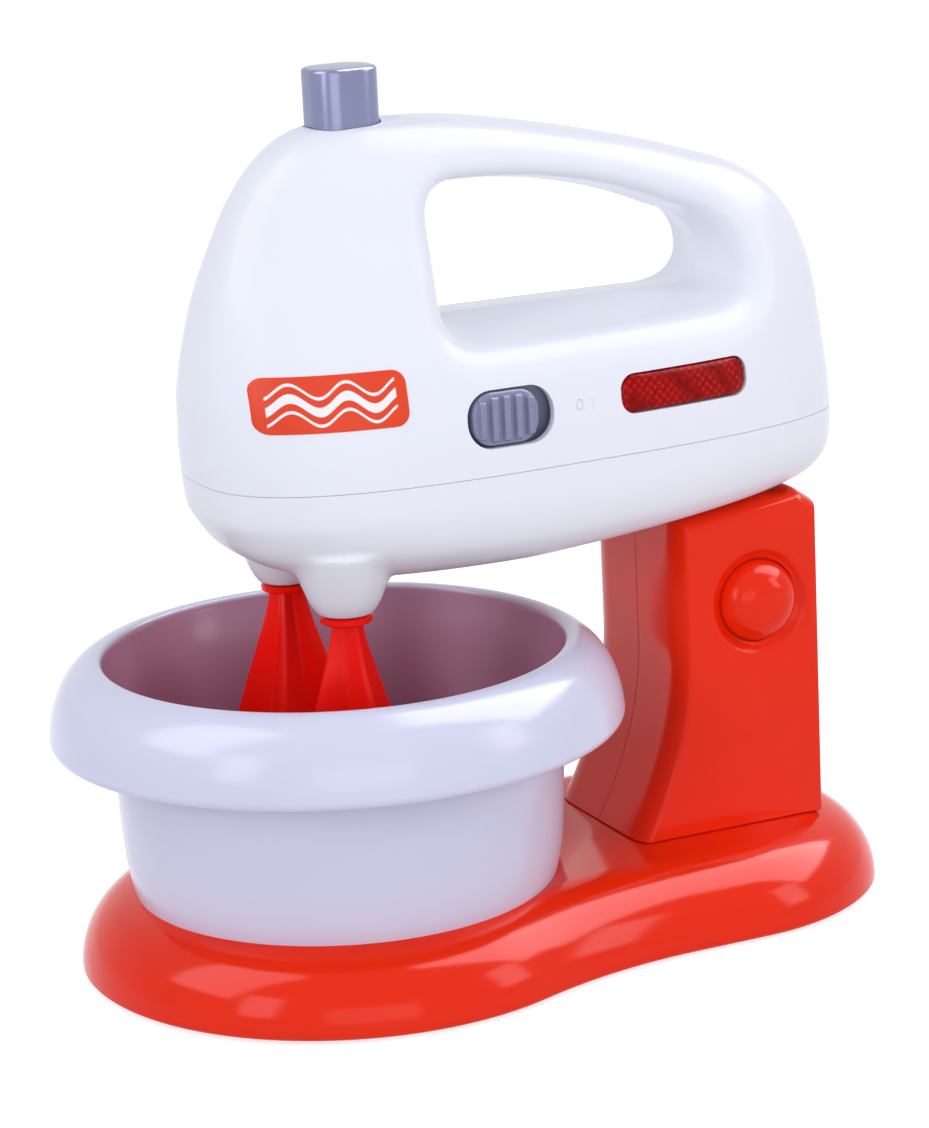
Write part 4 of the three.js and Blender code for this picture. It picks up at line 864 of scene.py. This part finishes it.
def side_patch(name, outline, front, back, rounding, rings=14):
    """A closed sheet that follows the head's near side, with rounded edges."""
    outline = even(outline, 200)
    centre = (outline.min(0) + outline.max(0)) / 2
    outer_shares = 1 - (1 - 0.86) * (1 - np.linspace(0.2, 1, 6)) ** 2
    shares = np.concatenate([np.linspace(0.04, 0.86, rings), outer_shares])
    reach = outline - centre
    size = np.linalg.norm(reach, axis=1).min()
    layers = []
    for share in shares:
        xz = centre + reach * share
        edge = np.clip(1 - (1 - share) * size / rounding, 0, 1)
        drop = rounding * (1 - np.sqrt(1 - edge ** 2))
        layers.append(at_side(xz, -head_side(*xz.T) - front + drop))
    for share in (1.0, 0.04):
        xz = centre + reach * share
        layers.append(at_side(xz, -head_side(*xz.T) + back))
    return solid(name, *loft(layers), 50)


def make_side_pieces():
    lens = side_patch("lens_cover", lens_outline(GAP), 0.0, WALL, 1.1)
    dress(lens, LENS, "head", "lens_plastic", "lens")
    outline = oblong(LABEL_X, LABEL_Z, LABEL_LENGTH, LABEL_DEPTH, LABEL_DEPTH / 4, 10)
    label = side_patch("side_label", outline, 0.3, -0.06, 0.15, 30)
    dress(label, LABEL, "head", "label", "label")


def ellipse(x, z, half_width, half_height, count=12):
    a, b = circle(1.0, count)
    ring = np.column_stack([x + half_width * a, z + half_height * b])
    return list(zip(ring, np.roll(ring, -1, axis=0)))


def letter_f(x, z, half_width, half_height):
    left, right = x - half_width, x + half_width
    top, low = z + half_height, z - half_height
    return [((left, low), (left, top)), ((left, top), (right, top)), ((left, z), (right - 0.3, z))]


def make_word():
    """A small raised OFF beside the slide switch."""
    half_width, half_height, pitch, stroke = 0.72, 1.25, 2.15, 0.26
    strokes = ellipse(WORD_X - pitch, WORD_Z, half_width, half_height)
    for x in (WORD_X, WORD_X + pitch):
        strokes += letter_f(x, WORD_Z, half_width, half_height)
    points, faces = [], []
    for start, end in strokes:
        start, end = np.array(start), np.array(end)
        along = (end - start) / np.linalg.norm(end - start)
        across = np.array((-along[1], along[0])) * stroke
        rings = []
        for spot in np.linspace(start - along * 0.2, end + along * 0.2, 5):
            row = spot + np.outer((-1, -0.5, 0.5, 1, 0), across)
            lift = (-0.12, 0.14, 0.14, -0.12, -0.3)
            rings.append(at_side(row, -head_side(*row.T) - lift))
        more, quads = loft(rings)
        faces += [tuple(i + len(points) for i in quad) for quad in quads]
        points += more.tolist()
    word = solid("switch_word", points, faces)
    dress(word, WHITE, "head", "white_plastic")


def make_button():
    """The eject button: a rounded post with a soft top edge, on its flange."""
    post = button_outline(0)
    centre = post.mean(0)
    flange = button_outline(0.9)
    rings = [at_height(flange, FLANGE_TOP - WALL), at_height(flange, FLANGE_TOP), at_height(post, FLANGE_TOP)]
    rounding, crown = 0.9, 0.25
    for turn in np.linspace(0, math.pi / 2, 7):
        share = 1 - rounding * (1 - math.cos(turn)) / (BUTTON_DEPTH / 2)
        height = BUTTON_TOP - crown - rounding * (1 - math.sin(turn))
        rings.append(at_height(centre + (post - centre) * share, height))
    for share in (0.7, 0.4, 0.12):
        rings.append(at_height(centre + (post - centre) * share, BUTTON_TOP - crown * share ** 2))
    button = solid("eject_cap", *loft(rings))
    dress(button, GREY, "ejector", "grey_plastic", "eject_button")


def make_slider():
    """The switch's thumb: an oblong with a rounded rim and upright ribs."""
    length, depth = 17.0, SLOT_DEPTH - 1.0
    x = SWITCH_X - SLOT_LENGTH / 2 + 1.5 + length / 2
    near = -float(head_side(np.array(SWITCH_X), np.array(SWITCH_Z))) - 1.2
    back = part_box("switch_thumb")[1][1] / MM
    outline = oblong(x, SWITCH_Z, length, depth, depth * 0.4, 14)
    centre = outline.mean(0)
    layers = ((1, back), (1, near + 1.9), (0.985, near + 1.5), (0.95, near + 1.3), (0.9, near + 1.25))
    rings = [at_side(centre + (outline - centre) * share, y) for share, y in layers]
    thumb = solid("switch_slider", *loft(rings))
    pitch, width = 3.1, 1.15
    for k in range(-2, 3):
        rib_x = x + k * pitch
        reach = depth / 2 * 0.86 * math.sqrt(max(0.0, 1 - (abs(k) * pitch / (length / 2)) ** 4))
        ribs = []
        for z_share, lift in ((-1, 0.1), (-0.93, 0.65), (-0.8, 0.85), (0.8, 0.85), (0.93, 0.65), (1, 0.1)):
            z = SWITCH_Z + reach * z_share
            crest = near + 0.92 - lift
            side, shoulder, root = near + 1.4, crest + 0.16, near + 1.7
            ribs.append([
                (rib_x - width, side, z), (rib_x - width * 0.65, shoulder, z), (rib_x, crest, z),
                (rib_x + width * 0.65, shoulder, z), (rib_x + width, side, z), (rib_x, root, z),
            ])
        carve(thumb, solid("rib", *loft(ribs)), "UNION")
    smooth(thumb)
    dress(thumb, SLIDER, "switch", "grey_plastic", "switch_thumb")


# ---- bowl
BOWL_FLANGE = 70.0
BOWL_OPENING = 57.2
BOWL_TOP = 77.5
BOWL_FLANGE_BOTTOM = 57.5
BOWL_FOOT_Z = 15.2


def spline(points, steps=10):
    """A smooth open curve through points."""
    points = np.asarray(points, float)
    padded = np.concatenate([[2 * points[0] - points[1]], points, [2 * points[-1] - points[-2]]])
    out = []
    for i in range(1, len(padded) - 2):
        p0, p1, p2, p3 = padded[i - 1:i + 3]
        square = 2 * p0 - 5 * p1 + 4 * p2 - p3
        cube = 3 * p1 - p0 - 3 * p2 + p3
        for t in np.linspace(0, 1, steps, endpoint=False):
            out.append(0.5 * (2 * p1 + (p2 - p0) * t + square * t ** 2 + cube * t ** 3))
    out.append(points[-1])
    return np.array(out)


def make_bowl():
    turns = np.linspace(0, 1, 28) * math.pi / 2
    crown = np.column_stack([
        BOWL_OPENING + (BOWL_FLANGE - BOWL_OPENING) * np.sin(turns),
        BOWL_TOP - (BOWL_TOP - BOWL_FLANGE_BOTTOM) * (1 - np.cos(turns)),
    ])
    low = BOWL_FLANGE_BOTTOM
    inside = spline([
        (3, 17.45), (30, 17.45), (41.5, 17.6), (47.6, 20.0), (50.6, 27), (51.7, 36), (52.6, 50), (53.4, 64),
        (55.6, 74.2),
    ])
    rim = spline([(55.6, 74.2), (56.1, 76.2), (56.9, 77.3), tuple(crown[2])], 6)
    curl = spline([
        tuple(crown[-4]), (BOWL_FLANGE - 0.05, low + 1.5), (BOWL_FLANGE - 0.8, low + 0.15),
        (BOWL_FLANGE - 1.9, low + 0.7), (66.9, 62.0),
    ], 6)
    under = spline([(66.9, 62.0), (65, 66.6), (61.6, 70.8), (58.0, 72.6), (55.9, 71.6), (55.1, 68.0)], 7)
    wall = spline([
        (55.1, 68.0), (54.95, 57), (54.5, 43), (53.9, 31), (53.0, 24), (51.7, 18.6), (50.2, 16.2),
        (48.4, 15.25), (3, BOWL_FOOT_Z),
    ])
    profile = np.concatenate([inside[:-1], rim[:-1], crown[3:-3], curl[1:-1], under[:-1], wall])
    bowl = rod("z", (0, 0), *profile.T, 160, "mixing_bowl")
    smooth(bowl, 60)
    dress(bowl, BOWL, "bowl", "white_plastic", "bowl")


# ---- base
BASE_FRONT = 66.0
BASE_REAR = 52.5
BASE_REAR_X = 89.5
BASE_WAIST = 120.163
BASE_TOP = 19.5
BASE_FLOOR = 1.0
BASE_DOME = 18.0
SEAT_RADIUS = 51.6
SEAT_DEPTH = 4.6
FOOT_ROUND = 0.5


def arc(x, y, radius, start, end, steps):
    turn = np.linspace(start, end, steps, endpoint=False)
    return np.column_stack([x + radius * np.cos(turn), y + radius * np.sin(turn)])


def base_outline(inset):
    front, rear, waist = BASE_FRONT - inset, BASE_REAR - inset, BASE_WAIST + inset
    waist_x = math.sqrt((front + waist) ** 2 - (rear + waist) ** 2)
    waist_y = rear + waist
    meet = math.atan2(waist_y, waist_x)
    straight = np.linspace((waist_x, -rear), (BASE_REAR_X, -rear), 10, endpoint=False)
    back = np.linspace((BASE_REAR_X, rear), (waist_x, rear), 10, endpoint=False)
    return np.concatenate([
        arc(0, 0, front, meet, 2 * math.pi - meet, 110),
        arc(waist_x, -waist_y, waist, math.pi - meet, math.pi / 2, 26),
        straight,
        arc(BASE_REAR_X, 0, rear, -math.pi / 2, math.pi / 2, 80),
        back,
        arc(waist_x, waist_y, waist, -math.pi / 2, meet - math.pi, 26),
    ])


def dome(inset, steps):
    """The base's rounded body, drawn in by a wall's thickness."""
    height = BASE_TOP - BASE_FLOOR - inset
    rings = []
    for turn in np.linspace(0, math.pi / 2, steps):
        outline = base_outline(inset + BASE_DOME * (1 - math.cos(turn)))
        rings.append(at_height(outline, BASE_FLOOR + height * math.sin(turn)))
    if not inset:
        rings.insert(0, at_height(base_outline(FOOT_ROUND), BASE_FLOOR))
        rings[1][:, 2] = BASE_FLOOR + FOOT_ROUND
    return solid("base_body", *loft(rings), 30)


def make_base():
    cover = dome(0.0, 30)
    hollow = dome(WALL, 9)
    seat_floor = BASE_TOP - SEAT_DEPTH
    drill(hollow, "z", (0, 0), SEAT_RADIUS + WALL, seat_floor - WALL, BASE_TOP, 96)
    carve(cover, hollow)
    carve(cover, prism_z(base_outline(WALL), BASE_FLOOR - 2, 4.0))
    radii = SEAT_RADIUS + np.array((-0.6, 0, 0, 0.25, 1.0, 1.0))
    heights = (seat_floor, seat_floor + 0.6, BASE_TOP - 1.0, BASE_TOP - 0.35, BASE_TOP, BASE_TOP + 2)
    carve(cover, rod("z", (0, 0), radii, heights, 160))
    smooth(cover, 35)
    dress(cover, RED, "base", "red_plastic", "base_cover")


# ---- column
COLUMN_FRONT = 83.0
COLUMN_FOOT_FRONT = 69.5
COLUMN_REAR = 122.3
COLUMN_HALF = 23.5
COLUMN_CURVE_TOP = 66.0
COLUMN_TOP_FRONT = 100.09
HINGE_X = 116.5
HINGE_Z = 99.488
KNUCKLE = 4.2
EDGE_DEPTH = 8.0
EDGE_INSET = 3.0
REAR_EDGE_SHARE = 0.4
KNOB_X = 105.2
KNOB_Z = 76.988
KNOB_RADIUS = 10.4
KNOB_PROUD = 7.0
KNOB_RECESS = 2.0
STEM_RADIUS = 2.5
STEM_HOLE = 3.0
STEM_END = -4.5
DISH_WIDTH = 3.2
PIN_HOLE = 1.85
PIN_HALF = 18.8
BRACKET_SLOT = (89.5, -5, 89.6)
LOW_SIDE_SCREW = (91.8, 32.0)
HEAD_TILT = math.radians(35)


def column_outline(wall_inset, edge_inset):
    """The column's outline in x and z, drawn in for its wall and its rounded side edges."""
    foot = BASE_TOP - 2
    inset = wall_inset + edge_inset
    rear = COLUMN_REAR - wall_inset - edge_inset * REAR_EDGE_SHARE
    knuckle = max(KNUCKLE - inset, GAP)
    front, foot_front = COLUMN_FRONT + inset, COLUMN_FOOT_FRONT + inset
    line = lambda p, q, n: np.linspace(p, q, n, endpoint=False)
    # The rear top corner is cut along the underside of the tilted head
    corner = HINGE_Z + (knuckle - (rear - HINGE_X) * math.sin(HEAD_TILT)) / math.cos(HEAD_TILT)
    meet = (HINGE_X + knuckle * math.sin(HEAD_TILT), HINGE_Z + knuckle * math.cos(HEAD_TILT))
    top_front = (front, COLUMN_TOP_FRONT - inset)
    curve_top = (front, COLUMN_CURVE_TOP)
    bend = (front, (COLUMN_CURVE_TOP + BASE_TOP) / 2)
    return np.concatenate([
        line((rear, foot), (rear, corner), 24),
        line((rear, corner), meet, 8),
        arc(HINGE_X, HINGE_Z, knuckle, math.pi / 2 - HEAD_TILT, math.pi / 2, 8),
        line((HINGE_X, HINGE_Z + knuckle), top_front, 20),
        line(top_front, curve_top, 20),
        bezier(curve_top, bend, (foot_front, BASE_TOP), 40),
        line((foot_front, BASE_TOP), (foot_front - EDGE_INSET, foot), 3),
        line((foot_front - EDGE_INSET, foot), (rear, foot), 12),
    ])


def column_body(inset, steps):
    half = COLUMN_HALF - inset
    turns = np.linspace(0, math.pi / 2, steps)
    sides = [(EDGE_INSET * (1 - math.cos(t)), half - EDGE_DEPTH * (1 - math.sin(t))) for t in turns]
    stations = [(e, -y) for e, y in reversed(sides)] + sides
    rings = [at_side(column_outline(inset, extra), y) for extra, y in stations]
    return solid("column", *loft(rings), 30)


def make_column():
    body = column_body(0.0, 12)
    bottom = BASE_TOP + GAP
    hollow = column_body(WALL, 4)
    carve(hollow, box_object((0, -FAR, 0), (3 * FAR, FAR, bottom + WALL)))
    hinge, knob = (HINGE_X, HINGE_Z), (KNOB_X, KNOB_Z)
    drill(hollow, "y", hinge, KNUCKLE - GAP, -FAR, FAR)
    carve(body, hollow)
    carve(body, box_object((0, -FAR, 0), (3 * FAR, FAR, bottom)))
    carve(body, box_object(BRACKET_SLOT, (3 * FAR, -BRACKET_SLOT[1], 2 * FAR)))
    drill(body, "y", hinge, PIN_HOLE, -PIN_HALF, PIN_HALF)
    hole = KNOB_RADIUS + GAP
    drill(body, "y", knob, hole, -FAR, -COLUMN_HALF + 2 * WALL, 96)
    shares = np.linspace(0, 1, 11)
    dish = hole - 0.1 + DISH_WIDTH * (1 - shares)
    depth = -COLUMN_HALF + KNOB_RECESS * 0.8 * (1 - np.cos(math.pi * shares)) / 2
    radii = (dish[0] + 0.4, dish[0] + 0.4, *dish)
    carve(body, rod("y", knob, radii, (-FAR, -COLUMN_HALF - 0.05, *depth), 96))
    drill(body, "y", knob, STEM_HOLE, -COLUMN_HALF, 0)
    for place in (LOW_SIDE_SCREW, (KNOB_X, KNOB_Z - KNOB_RADIUS - 10)):
        drill(body, "y", place, SCREW_HOLE, COLUMN_HALF * 0.62, FAR)
    halves = ((-1, "column_near_side", "column_near_half"), (1, "column_far_side", "column_far_half"))
    for side, name, node in halves:
        half = copy_of(body, name)
        low, high = sorted((side * GAP / 2, side * FAR))
        carve(half, box_object((0, low, 0), (3 * FAR, high, 3 * FAR)), "INTERSECT")
        smooth(half, 28)
        dress(half, RED, "base", "red_plastic", node)
    discard(body)


def make_knob():
    face = COLUMN_HALF - KNOB_RECESS
    shares = ((0.25, 0.985), (0.5, 0.91), (0.75, 0.7), (0.93, 0.38))
    cap = [(KNOB_RADIUS * across, face + KNOB_PROUD * out) for across, out in shares]
    radii, stations = spline([(0.3, face + KNOB_PROUD), *cap, (KNOB_RADIUS, face - 0.4)]).T
    flange, reach = COLUMN_HALF - WALL - GAP, KNOB_RADIUS + 1.1
    radii = np.concatenate([radii, (KNOB_RADIUS, reach, reach, STEM_RADIUS, STEM_RADIUS)])
    stations = np.concatenate([stations, (flange, flange, flange - WALL, flange - WALL, STEM_END)])
    knob = rod("y", (KNOB_X, KNOB_Z), radii, -stations, 96, "tilt_knob")
    dress(knob, RED, "release_knob", "red_plastic", "release_knob")


# ---- beaters
BEATER_BOTTOM = 36.0
BEATER_NECK = 4.2
BEATER_HALF = 15.5
BLADES = 4
BEATER_TURN = 0.2
COLLAR_RADIUS = 6.3
COLLAR_EDGE = 0.4
COLLAR_TOP = NOZZLE_BOTTOM - GAP
BLADE_TOP = COLLAR_TOP - 1.5
FLUTE_DEPTH = 0.5
SHAFT_RADIUS = 2.8
SHAFT_TOP = 111.5
BEATER_LEVELS = np.array([
    # way down, width as a share
    (0, 0), (0.1, 0.1), (0.3, 0.4), (0.5, 0.72), (0.65, 0.93), (0.76, 1), (0.87, 0.94), (0.95, 0.75),
    (1, 0.5),
])


def make_beater(name, side, turn, body, node):
    """One beater: four fluted blades under a collar, on its shaft."""
    downs = np.linspace(0, 1, 60)
    wides = monotone(BEATER_LEVELS[:, 0], BEATER_LEVELS[:, 1], downs)
    share = np.linspace(0, 1, 24, endpoint=False)
    shares = np.concatenate([k + share for k in range(BLADES)])
    folded = np.minimum(shares % 1, 1 - shares % 1)
    flute = 1 - FLUTE_DEPTH * np.sin(math.pi * np.clip((folded - 0.03) / 0.94, 0, 1)) ** 0.7
    turns = turn + shares * 2 * math.pi / BLADES
    centre = (SPINDLE_X, side * SPINDLE_Y)
    rings = []
    for down, wide in zip(downs, wides):
        radius = (BEATER_NECK + (BEATER_HALF - BEATER_NECK) * wide) * flute
        outline = np.column_stack([centre[0] + radius * np.cos(turns), centre[1] + radius * np.sin(turns)])
        rings.append(at_height(outline, BLADE_TOP - (BLADE_TOP - BEATER_BOTTOM) * down))
    blades = solid(name, *loft(rings), 40)
    full, end = COLLAR_RADIUS, COLLAR_RADIUS - COLLAR_EDGE
    radii = (end, full, full, end, SHAFT_RADIUS, SHAFT_RADIUS)
    heights = (BLADE_TOP - GAP, BLADE_TOP, COLLAR_TOP - COLLAR_EDGE, COLLAR_TOP, COLLAR_TOP, SHAFT_TOP)
    carve(blades, rod("z", centre, radii, heights), "UNION")
    smooth(blades, 40)
    dress(blades, BEATER_RED, body, "beater_plastic", node)


# ---- springs
SPRING_WIRE = 0.8


def make_spring(name, node, body, axis, turns, fixed_end):
    """A coil of wire that fills its CAD node's box; the place of its fixed end is worked out but not used."""
    low, high = design_box(node)
    across = [k for k in range(3) if k != axis]
    length = high[axis] - low[axis]
    radius = (high - low)[across].max() / 2 - SPRING_WIRE / 2
    out, up = circle(SPRING_WIRE / 2, 8)
    rings = []
    for share in np.linspace(0, 1, turns * 32 + 1):
        turn = 2 * math.pi * turns * share
        ring = np.zeros((len(out), 3))
        ring[:, across[0]] = (radius + out) * math.cos(turn)
        ring[:, across[1]] = (radius + out) * math.sin(turn)
        ring[:, axis] = up + (share - 0.5) * (length - SPRING_WIRE)
        rings.append(ring + (low + high) / 2)
    coil = solid(name, *loft(rings))
    dress(coil, STEEL, body, "steel", node)
    anchor = (low + high) / 2
    anchor[axis] = fixed_end(low[axis], high[axis])
    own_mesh(coil)


# ---- carried-over nodes
SLOT_MATERIALS = dict(
    white_plastic=WHITE, red_plastic=RED, rubber=RUBBER, steel=STEEL, grey_plastic=SLATE,
    lens_plastic=LENS, beater_plastic=BEATER_RED, gear_plastic=NATURAL, brass=BRASS,
    cell_skin=SLEEVE, black_plastic=BLACK, board=BOARD, label=LABEL,
)


def dress_nodes():
    slots = {part["node"]: part["material_slot"] for part in frame["record"]["subparts"]}
    for name, slot in slots.items():
        obj = frame["nodes"][name]
        obj.data.materials.clear()
        obj.data.materials.append(SLOT_MATERIALS[slot])


# ---- stage
FLOOR_GLOW = 0.7
FLOOR_COLOUR = (0.64, 0.64, 0.655, 1)
FILL_COLOUR = (0.86, 0.89, 1.0, 1)
FILL_STRENGTH = 0.58
PLAIN_WHITE = (1, 1, 1, 1)
LIT_POINT = (0, 0, 0.11)


def seen_plainly(tree):
    """1 for camera, glossy and transmission rays, and 0 for the rest."""
    path = add_node(tree, "LightPath", {})
    seen = path.outputs["Is Camera Ray"]
    for ray in ("Is Glossy Ray", "Is Transmission Ray"):
        either = add_node(tree, "Math", {0: seen, 1: path.outputs[ray]}, operation="MAXIMUM")
        seen = either.outputs[0]
    return seen


def background_shader(material):
    """A pale surface that reads as white to the camera and keeps a soft shadow."""
    tree = material.node_tree
    tree.nodes.clear()
    part = add_node(tree, "Math", {0: seen_plainly(tree), 1: FLOOR_GLOW}, operation="MULTIPLY")
    glow = add_node(tree, "Emission", {"Color": PLAIN_WHITE, "Strength": part.outputs[0]})
    diffuse = add_node(tree, "BsdfDiffuse", {"Color": FLOOR_COLOUR})
    both = add_node(tree, "AddShader", {0: diffuse.outputs[0], 1: glow.outputs[0]})
    add_node(tree, "OutputMaterial", {"Surface": both.outputs[0]})


def make_floor():
    size = 3.0
    mesh = bpy.data.meshes.new("floor")
    corners = [(-size, -size, 0), (size, -size, 0), (size, size, 0), (-size, size, 0)]
    mesh.from_pydata(corners, [], [(0, 1, 2, 3)])
    floor = new_object("floor", mesh)
    material = bpy.data.materials.new("pale_floor")
    material.use_nodes = True
    background_shader(material)
    mesh.materials.append(material)


def make_world():
    """White where it is seen, and a cool soft fill for everything that it lights."""
    world = bpy.data.worlds.new("studio")
    bpy.context.scene.world = world
    world.use_nodes = True
    tree = world.node_tree
    tree.nodes.clear()
    kind = "Background"
    fill = add_node(tree, kind, {"Color": FILL_COLOUR, "Strength": FILL_STRENGTH})
    plain = add_node(tree, kind, {"Color": PLAIN_WHITE, "Strength": 1.0})
    inputs = {"Fac": seen_plainly(tree), 1: fill.outputs[0], 2: plain.outputs[0]}
    mix = add_node(tree, "MixShader", inputs)
    add_node(tree, "OutputWorld", {"Surface": mix.outputs[0]})


def area_light(name, place, size, power, hidden_from=None, colour=(1, 1, 1)):
    """A soft box that points at the toy, and may be hidden from one kind of ray."""
    data = bpy.data.lights.new(name, "AREA")
    data.shape = "RECTANGLE"
    data.size, data.size_y = size
    data.energy = power
    data.color = colour
    lamp = new_object(name, data)
    lamp.location = place
    lamp.rotation_euler = (Vector(LIT_POINT) - Vector(place)).to_track_quat("-Z", "Y").to_euler()
    lamp.visible_glossy = hidden_from != "glossy"
    lamp.visible_diffuse = hidden_from != "diffuse"


def make_lights():
    """Three lights without a mirror image, three plain ones, and two that are only seen in gloss."""
    area_light("top_light", (0.1, -0.4, 1.1), (0.7, 0.5), 1.0, "glossy")
    area_light("right_back_light", (0.85, 0.15, 0.92), (0.7, 0.5), 1.2, "glossy")
    area_light("left_back_light", (-0.8, 0.55, 0.85), (0.7, 0.5), 1.6, "glossy")
    area_light("right_light", (0.95, -0.85, 0.55), (0.35, 0.6), 3.6)
    area_light("left_light", (-1.1, -0.55, 0.5), (0.35, 0.6), 3.4, colour=(0.97, 0.98, 1.0))
    area_light("front_light", (-0.35, -1.25, 0.3), (0.9, 0.5), 2.7)
    area_light("right_sheen", (0.62, -0.05, 0.9), (0.9, 1.0), 26.0, "diffuse")
    area_light("left_sheen", (-0.75, 0.05, 0.85), (0.6, 0.9), 9.5, "diffuse")


def make_camera():
    az, el, roll = CAMERA_AZIMUTH, CAMERA_ELEVATION, CAMERA_ROLL
    back = Vector((math.sin(az) * math.cos(el), -math.cos(az) * math.cos(el), math.sin(el)))
    level = Vector((0, 0, 1)).cross(back).normalized()
    rise = back.cross(level)
    right = level * math.cos(roll) - rise * math.sin(roll)
    up = level * math.sin(roll) + rise * math.cos(roll)
    eye = Vector(metres([CAMERA_TARGET])[0]) + back * CAMERA_DISTANCE * MM
    data = bpy.data.cameras.new("camera")
    data.lens = CAMERA_FOCAL_PX / IMAGE_HEIGHT * SENSOR
    data.sensor_width = SENSOR
    data.clip_start = 0.05
    camera = new_object("camera", data)
    turn = Matrix((right, up, back)).transposed().to_4x4()
    camera.matrix_world = Matrix.Translation(eye) @ turn
    bpy.context.scene.camera = camera


def main():
    dress_nodes()
    make_head()
    make_side_pieces()
    make_word()
    make_button()
    make_slider()
    make_bowl()
    make_base()
    make_column()
    make_knob()
    make_beater("beater_near_form", -1, BEATER_TURN, "beater_near", "beater_near")
    make_beater("beater_far_form", 1, BEATER_TURN + math.pi / BLADES, "beater_far", "beater_far")
    make_spring("eject_coil", "eject_spring", "head", 2, 5, min)
    make_spring("knob_coil", "knob_spring", "base", 1, 4, max)
    make_floor()
    make_world()
    make_lights()
    make_camera()
    bpy.context.scene.view_settings.view_transform = "Standard"


main()
